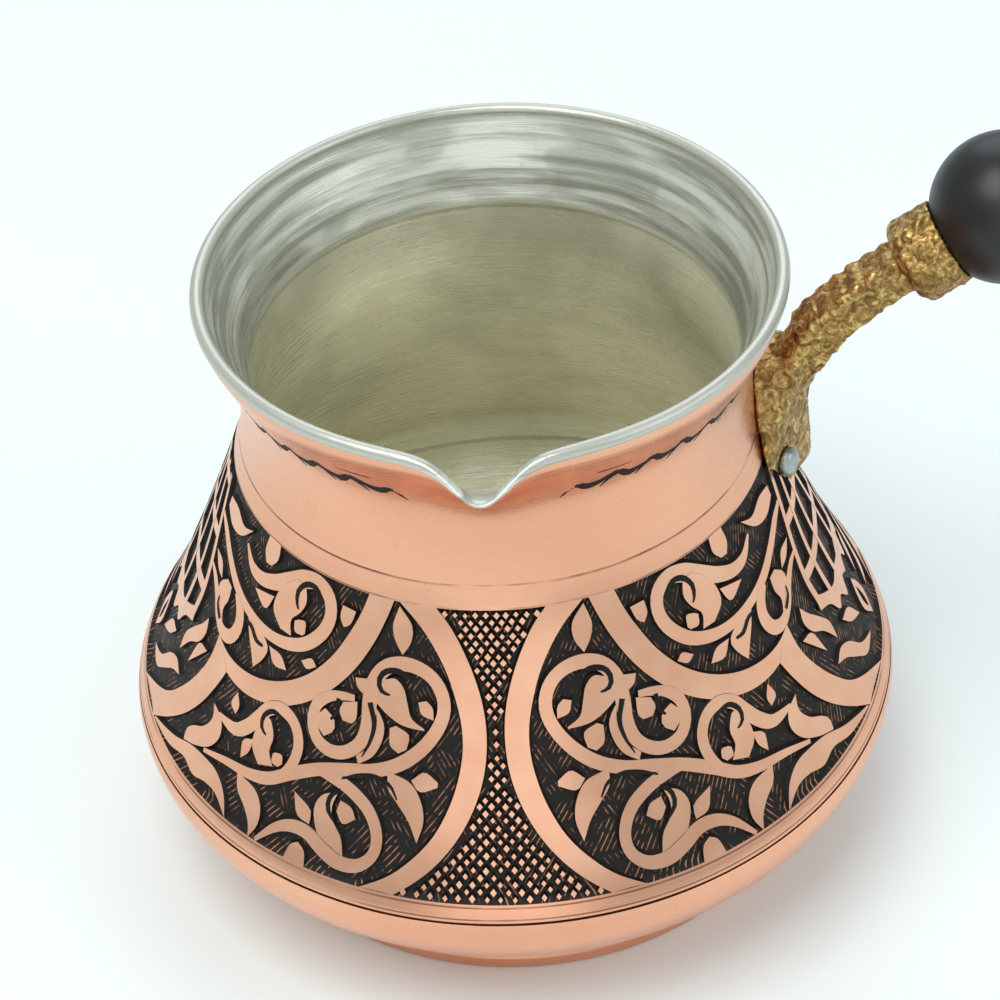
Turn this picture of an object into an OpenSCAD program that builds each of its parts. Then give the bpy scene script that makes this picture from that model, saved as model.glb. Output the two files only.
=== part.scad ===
// Turkish coffee pot (cezve): a tinned copper pot with a pinched spout, a cast
// brass bracket riveted to its neck, and a turned wooden grip held by one screw.
// Frame: origin at the centre of the base, +Z up, the handle points along +X.
// Millimetres throughout.

/* [Pot] */
// Height of the pot from its base to the top of the rim
pot_h = 84.4; // [68:0.2:104]
// Outside diameter of the rim
rim_d = 72; // [66:0.5:88]
// Outside diameter of the neck where it is narrowest
neck_d = 63.8; // [52:0.2:68]
// Depth of the narrowest part of the neck below the rim
neck_drop = 15.9; // [12:0.1:20]
// Outside diameter of the belly where it is widest
belly_d = 101.2; // [86:0.2:122]
// Height of the widest part of the belly above the base
belly_z = 20.5; // [16:0.5:26]
// Diameter of the flat base
base_d = 76.8; // [64:0.2:80]
// Height of the foot ring round the base
ring_h = 2.4; // [1.6:0.2:3.4]
// Thickness of the copper wall
wall = 1.4; // [0.9:0.1:1.8]
// Thickness of the copper floor
floor_t = 1.6; // [1:0.1:2.4]
// Thickness of the tin coat inside
tin_t = 0.3; // [0.2:0.05:0.5]

/* [Spout] */
// Direction of the spout, turned from the handle
spout_turn = -97; // [-110:1:-70]
// How far the spout's tip stands out past the rim
spout_out = 3.2; // [2:0.1:5]
// How far the spout's tip lies below the rim
spout_drop = 3; // [1:0.1:5]
// Width across the spout at its tip
spout_w = 13; // [9:0.5:16]
// Depth below the rim at which the spout fades into the neck
spout_len = 13; // [10:0.5:16]

/* [Bracket] */
// How far the foot's nose stands out from the neck
nose_out = 7.3; // [6.5:0.1:9]
// Width of the flat on the foot's nose
nose_w = 4.4; // [4:0.1:6]
// Angle from the handle's plane to the end of each ear
ear_angle = 20; // [17:0.5:24]
// Thickness of each ear at its end
ear_t = 2.4; // [1.8:0.1:3.2]
// Depth of the foot's upper edge below the rim
foot_top = 17; // [15:0.5:18]
// Height of the foot
foot_h = 16.5; // [14:0.5:18]
// Height of the foot's upright sides, below the taper
foot_side = 8; // [6:0.5:10]
// Width of the foot's top edge
foot_top_w = 9.5; // [7:0.5:14]
// Lean of the foot's outer faces away from upright
foot_lean = 4; // [2:0.5:6]
// Width of the stem across the handle's plane
stem_w = 5.2; // [3.8:0.2:5.6]
// Thickness of the stem where it meets the collar
stem_t = 4.8; // [4:0.1:6]
// Radius of each rib along the top of the stem
rib_r = 1.5; // [1.2:0.1:1.9]
// Upward slope of the handle's axis
rise = 31; // [24:1:38]
// Distance from the neck to the collar's mouth
collar_out = 24.7; // [22:0.1:30]
// Depth of the collar's mouth below the rim
collar_drop = 2.8; // [0:0.1:5]
// Outside diameter of the collar
collar_d = 11; // [9:0.2:13]
// Length of the collar
collar_len = 6.4; // [5.5:0.1:8]

/* [Rivets] */
// Diameter of the rivets' shanks
rivet_d = 2.2; // [1.6:0.1:2.8]
// Diameter of the rivets' heads
rivet_head_d = 3.5; // [3:0.1:4.4]
// Height of the rivets' heads
rivet_head_h = 1.2; // [0.8:0.1:1.6]
// Height of the tail that stands inside the pot
rivet_tail_h = 0.9; // [0.5:0.1:1.4]
// Depth of the rivets below the rim
rivet_drop = 28.5; // [25:0.5:29]
// How far along a flank the rivets sit, from the nose to the ear
rivet_part = 0.6; // [0.4:0.05:0.65]
// Clearance round a rivet in its holes
rivet_gap = 0.05; // [0.02:0.01:0.1]

/* [Grip] */
// Length of the grip from the collar's mouth to its end
grip_len = 99; // [80:1:120]
// Diameter of the ball at the front of the grip
ball_d = 18.8; // [16:0.2:24]
// Diameter of the grip's waist
waist_d = 11.4; // [10:0.2:14]
// Diameter of the grip's swell
swell_d = 18; // [15:0.2:22]
// Diameter of the screw that runs through the grip
screw_d = 4; // [3:0.5:5]
// Diameter of the screw's head
screw_head_d = 7; // [6:0.1:8]
// Height of the screw's head
screw_head_h = 2.2; // [1.6:0.1:3]
// Thickness of the washer under the screw's head
washer_t = 0.8; // [0.5:0.1:1.2]
// Clearance round the screw, its head and its washer
screw_gap = 0.15; // [0.05:0.05:0.3]

/* [Hidden] */
$fn = 96;

rim_r = rim_d / 2;
neck_r = neck_d / 2;
belly_r = belly_d / 2;
base_r = base_d / 2;
neck_z = pot_h - neck_drop;
base_edge = 0.8;      // rounding where the base turns up into the side
floor_corner = 2;     // slope where the floor meets the wall inside
past = 6;             // how far cutting shapes run past what they cut

// ---- outline of the pot -------------------------------------------------

function bez(p, t) = pow(1 - t, 3) * p[0] + 3 * pow(1 - t, 2) * t * p[1]
    + 3 * (1 - t) * pow(t, 2) * p[2] + pow(t, 3) * p[3];
function curve(p, n) = [for (i = [1:n]) bez(p, i / n)];
function unit(v) = v / norm(v);

ring_in = 0.5;        // depth of the crease above the foot ring
belly_top = [belly_r - 2.7, belly_z + 6];
shoulder = [neck_r + 2.2, neck_z - 11];
low_side = [[base_r - ring_in, ring_h],
            [base_r + 0.33 * (belly_r - base_r), ring_h + 0.34 * (belly_z - ring_h)],
            [belly_r - 0.3, 0.66 * belly_z],
            [belly_r, belly_z]];
belly_turn = [[belly_r, belly_z], [belly_r, belly_z + 2.4],
              belly_top + [1.1, -2.1], belly_top];
cone = [belly_top, belly_top + 0.3 * (shoulder - belly_top) + [-0.9, -0.4],
        belly_top + 0.7 * (shoulder - belly_top) + [-0.5, -0.3], shoulder];
neck_turn = [shoulder, shoulder + [-1.3, 3.4], [neck_r, neck_z - 4.5], [neck_r, neck_z]];
flare = [[neck_r, neck_z], [neck_r, neck_z + 0.5 * neck_drop],
         [rim_r - 1.3, pot_h - 0.4 * neck_drop], [rim_r - 0.1, pot_h - 1.6 * wall]];
outline = concat([[base_r - base_edge, 0], [base_r - 0.25 * base_edge, 0.25 * base_edge],
                  [base_r, base_edge], [base_r, ring_h - ring_in]],
                 [low_side[0]], curve(low_side, 14), curve(belly_turn, 8), curve(cone, 8),
                 curve(neck_turn, 8), curve(flare, 10), [[rim_r, pot_h - wall / 2]]);
last = len(outline) - 1;

// Outward normal of the outline at its point i
function out_dir(i) = let (d = unit(outline[min(i + 1, last)] - outline[max(i - 1, 0)]))
    [d[1], -d[0]];
// The outline moved inwards by t, above the floor
function inside(t) = [for (i = [5:last])
    let (p = outline[i] - t * out_dir(i)) if (p[1] > floor_t + floor_corner) p];
function side_r(z) = lookup(z, [for (p = outline) [p[1], p[0]]]);

// The pot as if it were solid
module pot_solid() {
    rotate_extrude() polygon(concat([[0, 0]], outline,
        [[rim_r - wall / 2, pot_h], [0, pot_h]]));
}

// The hollow left inside when the wall is t thick, open at the top
module hollow(t, up) {
    side = inside(t);
    f = floor_t + t - wall;
    top = side[len(side) - 1];
    rotate_extrude() polygon(concat([[0, f], [side[0][0] - floor_corner, f]], side,
        [[top[0], top[1] + up], [0, top[1] + up]]));
}

// ---- spout --------------------------------------------------------------

tip = [rim_r + spout_out, pot_h - spout_drop];
root = [neck_r, pot_h - spout_len];
spout_dir = unit(tip - root);
spout_down = [spout_dir[1], -spout_dir[0]];
root_r = 0.8 + wall + tin_t;
axis_lo = root - root_r * spout_down;
axis_hi = tip - spout_w / 2 * spout_down;
spout_lean = atan2(axis_hi[0] - axis_lo[0], axis_hi[1] - axis_lo[1]);
spout_run = norm(axis_hi - axis_lo);
stretch = 1.5;

// The spout's cone, t inside its outer face
module spout_cone(t) {
    rotate([0, 0, spout_turn]) translate([axis_lo[0], 0, axis_lo[1]])
        rotate([0, spout_lean, 0])
            cylinder(h = stretch * spout_run, r1 = root_r - t,
                r2 = root_r + stretch * (spout_w / 2 - root_r) - t);
}

// All that lies under the spout's lip
module under_lip() {
    rotate([0, 0, spout_turn]) rotate([90, 0, 0])
        linear_extrude(3 * spout_w, center = true)
            polygon([[0, 0], [tip[0] + past, 0],
                     [tip[0] + past, tip[1] - past * spout_drop / (spout_out + 0.6)],
                     [rim_r - 0.6, pot_h], [0, pot_h]]);
}

// ---- bracket ------------------------------------------------------------

nose_x = neck_r + nose_out;
ear = (neck_r + ear_t) * [cos(ear_angle), sin(ear_angle)];
foot_low = pot_h - foot_top - foot_h;
foot_mid = foot_low + foot_h / 2;
flank = [nose_x - ear[0], ear[1] - nose_w / 2];     // from the ear's end to the nose
flank_turn = atan2(flank[0], flank[1]);             // how far a flank's normal turns from +X
lobe_r = 5;                                         // rounding of the foot's lower corners

along = [cos(rise), sin(rise)];
mouth = [neck_r + collar_out, pot_h - collar_drop];
collar_root = mouth - collar_len * along;

// Where a rivet meets the rear flank, seen from above
seat = [nose_x - rivet_part * flank[0], nose_w / 2 + rivet_part * flank[1]];

// Places children in the foot's frame, which leans with its outer faces
module in_foot() {
    translate([nose_x, 0, foot_mid]) rotate([0, -foot_lean, 0])
        translate([-nose_x, 0, -foot_mid]) children();
}

// Places children with +Z along the handle's axis and z = 0 at the collar's mouth
module on_axis() {
    translate([mouth[0], 0, mouth[1]]) rotate([0, 90 - rise, 0]) children();
}

// Places children on one flank of the foot, +Z outwards; s is -1 in front, 1 behind
module on_flank(s) {
    in_foot() translate([seat[0], s * seat[1], pot_h - rivet_drop])
        rotate([0, 0, s * flank_turn]) rotate([0, 90, 0]) children();
}

// How far along a rivet's axis the inner face of the tin lies
seat_dir = [cos(flank_turn), sin(flank_turn)];
tin_r = side_r(pot_h - rivet_drop) - wall - tin_t;
seat_b = seat * seat_dir;
rivet_reach = seat_b - sqrt(seat_b * seat_b - seat * seat + tin_r * tin_r);

module rivet_holes() {
    for (s = [-1, 1]) on_flank(s)
        translate([0, 0, -rivet_reach - past]) cylinder(h = rivet_reach + 2 * past,
            d = rivet_d + 2 * rivet_gap);
}

module foot() {
    in = neck_r - past;
    turn = ear_angle;
    difference() {
        intersection() {
            in_foot() translate([0, 0, foot_low]) linear_extrude(foot_h)
                polygon([[nose_x, -nose_w / 2], [nose_x, nose_w / 2], ear,
                         [in * cos(turn), in * sin(turn)],
                         [in * cos(turn), -in * sin(turn)], [ear[0], -ear[1]]]);
            // the foot seen from the grip: round lobes below, tapering above
            translate([0, 0, foot_low]) rotate([90, 0, 90])
                linear_extrude(nose_x + past) {
                    translate([lobe_r - ear[1], 0])
                        square([2 * ear[1] - 2 * lobe_r, 2 * lobe_r]);
                    for (x = [-1, 1])
                        translate([x * (ear[1] - lobe_r), lobe_r]) circle(lobe_r);
                    polygon([[-ear[1], lobe_r], [ear[1], lobe_r], [ear[1], foot_side],
                             [foot_top_w / 2, foot_h], [-foot_top_w / 2, foot_h],
                             [-ear[1], foot_side]]);
                }
        }
        pot_solid();
    }
}

// Side view of the stem: two curves from the collar down into the foot
stem_top = [collar_root + along * 0.5 + stem_t / 2 * [-along[1], along[0]],
            [neck_r + 12, pot_h - 7.6], [neck_r + 6, pot_h - 12],
            [neck_r + 2.6, pot_h - 19]];
stem_low = [collar_root + along * 0.5 - stem_t / 2 * [-along[1], along[0]],
            [neck_r + 14, pot_h - 11.8], [neck_r + 8.4, pot_h - 17],
            [neck_r + 6.6, pot_h - 25]];
ribs = 7;

module stem() {
    low = curve(stem_low, 16);
    rotate([90, 0, 0]) linear_extrude(stem_w, center = true) {
        polygon(concat([stem_top[0]], curve(stem_top, 16),
            [for (i = [len(low) - 1:-1:0]) low[i]], [stem_low[0]]));
        for (i = [0:ribs - 1]) {
            t = (i + 0.7) / (ribs + 2.4);
            d = unit(bez(stem_top, t + 0.01) - bez(stem_top, t - 0.01));
            translate(bez(stem_top, t) + (rib_r - 0.6) * [-d[1], d[0]]) circle(rib_r);
        }
    }
}

module collar() {
    edge = 1;
    on_axis() translate([0, 0, -collar_len]) {
        cylinder(h = edge, d1 = collar_d - 2 * edge, d2 = collar_d);
        translate([0, 0, edge]) cylinder(h = collar_len - edge, d = collar_d);
    }
}

// ---- grip ---------------------------------------------------------------

ball_r = ball_d / 2;
seat_r = collar_d / 2 - 0.3;                        // where the ball meets the collar's mouth
ball_z = sqrt(ball_r * ball_r - seat_r * seat_r);
hole_end = collar_len - 1;                          // depth of the screw's hole in the collar
head_room = screw_head_h + washer_t + 0.3;          // depth of the recess at the grip's end
end_r = screw_head_d / 2 + 1.6;

neck_in = [[ball_z + sqrt(ball_r * ball_r - waist_d * waist_d / 4) - 0.4, waist_d / 2 + 0.3],
           [0.26 * grip_len, waist_d / 2 - 0.6], [0.36 * grip_len, waist_d / 2],
           [0.52 * grip_len, (waist_d + swell_d) / 4]];
swell = [[0.52 * grip_len, (waist_d + swell_d) / 4], [0.66 * grip_len, swell_d / 2],
         [0.82 * grip_len, swell_d / 2 + 0.4], [0.93 * grip_len, swell_d / 2 - 0.6]];
butt = [[0.93 * grip_len, swell_d / 2 - 0.6], [0.97 * grip_len, swell_d / 2 - 1.2],
        [grip_len, end_r + 1.4], [grip_len, end_r]];
grip_side = concat([neck_in[0]], curve(neck_in, 14), curve(swell, 12), curve(butt, 8));

// ---- sub-parts ----------------------------------------------------------

// Copper pot with its spout, drilled for the rivets
module pot_body() {
    color("#d98a62") difference() {
        union() {
            difference() {
                pot_solid();
                hollow(wall, past);
            }
            // rounded lip
            rotate_extrude() translate(outline[last] - wall / 2 * out_dir(last))
                circle(d = wall, $fn = 32);
            intersection() {
                difference() {
                    spout_cone(0);
                    hollow(wall, past);
                }
                under_lip();
            }
        }
        spout_cone(wall);
        rivet_holes();
    }
}

// Tin coat over the whole inside, up to the lip and out along the spout
module tin_lining() {
    color("#c9ccc0") difference() {
        union() {
            hollow(wall, 0);
            intersection() {
                spout_cone(wall);
                under_lip();
            }
        }
        hollow(wall + tin_t, past);
        spout_cone(wall + tin_t);
        rivet_holes();
    }
}

// Cast bracket: riveted foot, ribbed stem and the collar that holds the grip
module handle_bracket() {
    color("#b08d4a") difference() {
        union() {
            foot();
            stem();
            collar();
        }
        rivet_holes();
        on_axis() translate([0, 0, ball_z]) sphere(ball_r);
        on_axis() translate([0, 0, -hole_end])
            cylinder(h = hole_end + past, d = screw_d + 2 * screw_gap);
    }
}

// One rivet: head on the foot's flank, tail set against the tin inside
module rivet(s) {
    color("#a9b3b0") {
        on_flank(s) {
            cylinder(h = 0.6 * rivet_head_h, d = rivet_head_d);
            translate([0, 0, 0.6 * rivet_head_h])
                cylinder(h = 0.4 * rivet_head_h, d1 = rivet_head_d, d2 = 0.7 * rivet_head_d);
            translate([0, 0, -rivet_reach - rivet_tail_h])
                cylinder(h = rivet_reach + rivet_tail_h, d = rivet_d);
        }
        intersection() {
            on_flank(s) translate([0, 0, -rivet_reach - rivet_tail_h])
                cylinder(h = 2 * rivet_tail_h + 1, d = rivet_head_d);
            hollow(wall + tin_t, 0);
        }
    }
}

// Turned wooden grip: a ball at the collar, a waist, a swell and a recessed end
module grip() {
    color("#1d1d20") on_axis() difference() {
        union() {
            translate([0, 0, ball_z]) sphere(ball_r);
            rotate_extrude() polygon(concat([[0, ball_z]],
                [for (p = grip_side) [p[1], p[0]]], [[0, grip_len]]));
        }
        translate([0, 0, -past]) cylinder(h = grip_len + 2 * past,
            d = screw_d + 2 * screw_gap);
        translate([0, 0, grip_len - head_room])
            cylinder(h = head_room + past, d = screw_head_d + 2 * screw_gap);
    }
}

// Washer at the bottom of the recess in the grip's end
module grip_washer() {
    color("#9a9a98") on_axis() translate([0, 0, grip_len - head_room]) difference() {
        cylinder(h = washer_t, d = screw_head_d);
        translate([0, 0, -past]) cylinder(h = washer_t + 2 * past,
            d = screw_d + 2 * screw_gap);
    }
}

// Long screw through the grip into the collar, with a slotted pan head
module grip_screw() {
    slot_w = 1;
    color("#a8a8a6") on_axis() difference() {
        union() {
            translate([0, 0, 0.4 - hole_end])
                cylinder(h = grip_len - head_room + washer_t + hole_end - 0.4, d = screw_d);
            translate([0, 0, grip_len - head_room + washer_t])
                cylinder(h = screw_head_h, d = screw_head_d);
        }
        translate([-past, -slot_w / 2, grip_len - head_room + washer_t + 0.5 * screw_head_h])
            cube([2 * past, slot_w, screw_head_h]);
    }
}

pot_body();
tin_lining();
handle_bracket();
rivet(-1);  // rivet_front
rivet(1);  // rivet_rear
grip();
grip_washer();
grip_screw();
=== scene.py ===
"""Turkish coffee pot (cezve): the looks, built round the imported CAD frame.

The pot is tinned copper, spun to shape and engraved by hand; the ground of the engraving is
blackened. A cast brass bracket is riveted to its neck and carries a turned, black lacquered grip.
Lengths are given in millimetres and turned to metres when a mesh is placed.
"""

import logging
import math
import random
from dataclasses import dataclass, field
from enum import Enum

import bmesh
import bpy
from mathutils import Matrix, Vector, noise


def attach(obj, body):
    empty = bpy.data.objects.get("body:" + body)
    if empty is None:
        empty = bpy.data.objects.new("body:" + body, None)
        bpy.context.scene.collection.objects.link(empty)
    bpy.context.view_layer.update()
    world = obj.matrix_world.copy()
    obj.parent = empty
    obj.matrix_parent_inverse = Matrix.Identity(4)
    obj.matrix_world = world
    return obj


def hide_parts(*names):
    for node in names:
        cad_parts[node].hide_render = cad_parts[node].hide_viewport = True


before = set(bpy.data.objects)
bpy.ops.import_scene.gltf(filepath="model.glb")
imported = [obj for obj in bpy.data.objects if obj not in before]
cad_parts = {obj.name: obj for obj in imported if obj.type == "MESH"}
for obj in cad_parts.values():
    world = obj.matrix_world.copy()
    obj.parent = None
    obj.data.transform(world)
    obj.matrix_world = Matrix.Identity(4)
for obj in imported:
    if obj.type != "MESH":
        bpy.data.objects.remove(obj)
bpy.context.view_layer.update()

MM = 0.001
log = logging.getLogger("cezve")
Point = tuple[float, float]


# ---------------------------------------------------------------------------------------------
# Shader helpers
# ---------------------------------------------------------------------------------------------


def linear(code: str, alpha: float = 1.0) -> tuple[float, float, float, float]:
    """Turn an sRGB hex colour into linear RGBA.

    Args:
        code: Six hex digits, with or without a leading hash.
        alpha: The alpha to return.

    Returns:
        Linear red, green, blue and alpha.
    """
    code = code.lstrip("#")
    parts = [int(code[i : i + 2], 16) / 255 for i in (0, 2, 4)]
    red, green, blue = (c / 12.92 if c <= 0.04045 else ((c + 0.055) / 1.055) ** 2.4 for c in parts)
    return red, green, blue, alpha


def add(
    tree: bpy.types.NodeTree,
    kind: str,
    inputs: dict | None = None,
    **settings: object,
) -> bpy.types.Node:
    """Add a node with its settings, values and links.

    Args:
        tree: The node tree to add to.
        kind: The node's type, without the ShaderNode prefix.
        inputs: Socket name or index to a value, or to the output socket that feeds it.
        **settings: Properties of the node itself.

    Returns:
        The new node.
    """
    made = tree.nodes.new("ShaderNode" + kind)
    for name, value in settings.items():
        setattr(made, name, value)
    for key, value in (inputs or {}).items():
        if isinstance(value, bpy.types.NodeSocket):
            tree.links.new(value, made.inputs[key])
        else:
            made.inputs[key].default_value = value
    return made


def ramp(
    tree: bpy.types.NodeTree,
    factor: bpy.types.NodeSocket,
    stops: list[tuple[float, str]],
) -> bpy.types.NodeSocket:
    """Add a colour ramp.

    Args:
        tree: The node tree to add to.
        factor: What drives the ramp.
        stops: Position and sRGB hex colour of each stop, in order.

    Returns:
        The ramp's colour output.
    """
    made = add(tree, "ValToRGB", {0: factor})
    elements = made.color_ramp.elements
    elements[0].position, elements[0].color = stops[0][0], linear(stops[0][1])
    elements[1].position, elements[1].color = stops[-1][0], linear(stops[-1][1])
    for place, code in stops[1:-1]:
        elements.new(place).color = linear(code)
    return made.outputs[0]


def maths(tree: bpy.types.NodeTree, operation: str, *values: object) -> bpy.types.NodeSocket:
    """Add a Math node and return its output; values are numbers or sockets."""
    return add(tree, "Math", dict(enumerate(values)), operation=operation).outputs[0]


def mix(
    tree: bpy.types.NodeTree,
    factor: object,
    first: object,
    second: object,
) -> bpy.types.NodeSocket:
    """Mix two colours.

    Args:
        tree: The node tree to add to.
        factor: A number or socket, 0 for the first colour and 1 for the second.
        first: A socket or linear RGBA.
        second: A socket or linear RGBA.

    Returns:
        The mixed colour's socket.
    """
    made = add(tree, "Mix", {0: factor, 6: first, 7: second}, data_type="RGBA")
    return made.outputs[2]


class Turned:
    """Coordinates for a turned surface: azimuth in radians and height in millimetres."""

    def __init__(self, tree: bpy.types.NodeTree) -> None:
        """Build the coordinate nodes.

        Args:
            tree: The node tree of the material that uses them.
        """
        self.tree = tree
        self.object = add(tree, "TexCoord").outputs["Object"]
        split = add(tree, "SeparateXYZ", {0: self.object})
        self.height = maths(tree, "MULTIPLY", split.outputs[2], 1 / MM)
        self.azimuth = maths(tree, "ARCTAN2", split.outputs[1], split.outputs[0])

    def brushed(self, along: float, across: float, detail: float = 3.0) -> bpy.types.NodeSocket:
        """Noise drawn out round the axis, as a lathe or a polishing mop leaves it.

        Args:
            along: Length of a mark round the pot, in radians.
            across: Width of a mark, in millimetres.
            detail: Octaves of the noise.

        Returns:
            The noise's factor socket.
        """
        tree = self.tree
        spin = add(tree, "CombineXYZ", {
            0: maths(tree, "MULTIPLY", maths(tree, "SINE", self.azimuth), 1 / along),
            1: maths(tree, "MULTIPLY", maths(tree, "COSINE", self.azimuth), 1 / along),
            2: maths(tree, "MULTIPLY", self.height, 1 / across)})
        made = add(tree, "TexNoise", {"Vector": spin.outputs[0], "Scale": 1.0, "Detail": detail})
        return made.outputs[0]

    def line(self, height: float, half: float) -> bpy.types.NodeSocket:
        """A line round the pot: 1 on it and 0 away from it.

        Args:
            height: Height of the line, in millimetres.
            half: Half its width, in millimetres.

        Returns:
            A socket from 0 to 1.
        """
        away = maths(self.tree, "ABSOLUTE", maths(self.tree, "SUBTRACT", self.height, height))
        return maths(self.tree, "LESS_THAN", away, half)


def cloudy(
    tree: bpy.types.NodeTree,
    vector: bpy.types.NodeSocket,
    size: float,
    detail: float = 4.0,
    rough: float = 0.5,
) -> bpy.types.NodeSocket:
    """Blotchy noise.

    Args:
        tree: The node tree to add to.
        vector: Object coordinates, in metres.
        size: Size of a blotch, in millimetres.
        detail: Octaves of the noise.
        rough: How strong the finer octaves are.

    Returns:
        The noise's factor socket.
    """
    made = add(tree, "TexNoise", {"Vector": vector, "Scale": 1 / (size * MM), "Detail": detail,
                                  "Roughness": rough})
    return made.outputs[0]


class Slot(Enum):
    """The record's material slots."""

    COPPER = "copper"
    TIN = "tin"
    BRASS = "cast_brass"
    RIVET = "rivet"
    WOOD = "black_wood"
    STEEL = "steel"


@dataclass(frozen=True)
class Finish:
    """A finish; each kind builds its own node tree. Its name is never that of a slot."""

    name: str

    def build(self) -> bpy.types.Material:
        """Make the material once.

        Returns:
            The material, which later calls find by its name.
        """
        done = bpy.data.materials.get(self.name)
        if done:
            return done
        made = bpy.data.materials.new(self.name)
        made.use_nodes = True
        made.node_tree.nodes.clear()
        shader = add(made.node_tree, "BsdfPrincipled")
        add(made.node_tree, "OutputMaterial", {0: shader.outputs[0]})
        self.dress(made.node_tree, shader)
        return made

    def dress(self, tree: bpy.types.NodeTree, shader: bpy.types.Node) -> None:
        """Fill the tree; each finish has its own.

        Args:
            tree: The material's node tree.
            shader: Its Principled shader.
        """
        raise NotImplementedError


@dataclass(frozen=True)
class SpunCopper(Finish):
    """Copper, spun and mopped: a soft pink gloss with fine marks that run round the pot."""

    name: str = "spun_copper"
    light: str = "#F8C1A2"
    deep: str = "#E49E7C"
    tarnish: str = "#A8644A"
    line_colour: str = "#3A1A10"
    broad: float = 26.0  # size of the broad changes of colour, in millimetres
    spot: float = 3.2  # size of a spot of tarnish
    ripple: float = 7.0  # length of the soft hammered ripple
    mark: Point = (0.35, 0.22)  # length in radians and width in millimetres of a spinning mark
    worn: Point = (0.25, 40.0)  # the same for the stretches where a thin line is worn away
    main_line: Point = (22.2, 0.17)  # height and half width of a scribed line
    thin_lines: tuple[Point, ...] = ((61.95, 0.12), (59.02, 0.09), (24.1, 0.1), (22.75, 0.1))

    def dress(self, tree: bpy.types.NodeTree, shader: bpy.types.Node) -> None:
        """Colour from broad tarnish and spinning marks; the scribed lines are dark.

        Args:
            tree: The material's node tree.
            shader: Its Principled shader.
        """
        turned = Turned(tree)
        broad = cloudy(tree, turned.object, self.broad, 2)
        marks = turned.brushed(*self.mark, 4)
        colour = mix(tree, broad, linear(self.deep), linear(self.light))
        colour = mix(tree, ramp(tree, marks, [(0.30, "#8C8C8C"), (0.55, "#000000")]), colour,
                     linear(self.deep))
        spots = ramp(tree, cloudy(tree, turned.object, self.spot, 6, 0.65),
                     [(0.62, "#000000"), (0.74, "#707070")])
        colour = mix(tree, spots, colour, linear(self.tarnish))
        lines = turned.line(*self.main_line)
        worn = ramp(tree, turned.brushed(*self.worn, 2), [(0.34, "#202020"), (0.52, "#D0D0D0")])
        for height, half in self.thin_lines:
            lines = maths(tree, "MAXIMUM", lines,
                          maths(tree, "MULTIPLY", turned.line(height, half), worn))
        colour = mix(tree, lines, colour, linear(self.line_colour))
        bump = add(tree, "Bump", {"Strength": 0.10, "Distance": 0.00005, "Height": marks})
        soft = add(tree, "Bump", {"Strength": 0.22, "Distance": 0.0004,
                                  "Height": cloudy(tree, turned.object, self.ripple, 2),
                                  "Normal": bump.outputs[0]})
        rough = add(tree, "MapRange", {0: marks, 1: 0.2, 2: 0.8, 3: 0.22, 4: 0.36})
        tree.links.new(colour, shader.inputs["Base Color"])
        tree.links.new(rough.outputs[0], shader.inputs["Roughness"])
        tree.links.new(soft.outputs[0], shader.inputs["Normal"])
        shader.inputs["Metallic"].default_value = 1.0


@dataclass(frozen=True)
class RaisedCopper(Finish):
    """Copper left standing by the graver: as the spun copper, a little lighter and rubbed."""

    name: str = "raised_copper"
    light: str = "#F9C6A8"
    deep: str = "#EAA582"
    rub: float = 5.0  # size of a rubbed patch, in millimetres
    mark: Point = (0.35, 0.22)  # length in radians and width in millimetres of a spinning mark

    def dress(self, tree: bpy.types.NodeTree, shader: bpy.types.Node) -> None:
        """Fine spinning marks and faint rubbing.

        Args:
            tree: The material's node tree.
            shader: Its Principled shader.
        """
        turned = Turned(tree)
        marks = turned.brushed(*self.mark, 4)
        colour = mix(tree, cloudy(tree, turned.object, self.rub, 4), linear(self.deep),
                     linear(self.light))
        bump = add(tree, "Bump", {"Strength": 0.12, "Distance": 0.00006, "Height": marks})
        tree.links.new(colour, shader.inputs["Base Color"])
        tree.links.new(bump.outputs[0], shader.inputs["Normal"])
        shader.inputs["Metallic"].default_value = 1.0
        shader.inputs["Roughness"].default_value = 0.29


@dataclass(frozen=True)
class BlackenedCut(Finish):
    """Copper blackened with liver of sulphur in the graver's cuts: dull brown-black."""

    name: str = "blackened_cut"
    black: str = "#0A0605"
    grey: str = "#140C09"
    brown: str = "#33190F"
    grain: float = 0.7  # size of the blotches, in millimetres

    def dress(self, tree: bpy.types.NodeTree, shader: bpy.types.Node) -> None:
        """Almost black, with a little brown where the copper shows through.

        Args:
            tree: The material's node tree.
            shader: Its Principled shader.
        """
        where = add(tree, "TexCoord").outputs["Object"]
        colour = ramp(tree, cloudy(tree, where, self.grain, 4, 0.6),
                      [(0.35, self.black), (0.6, self.grey), (0.8, self.brown)])
        tree.links.new(colour, shader.inputs["Base Color"])
        shader.inputs["Roughness"].default_value = 0.62
        shader.inputs["Specular IOR Level"].default_value = 0.25


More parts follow.
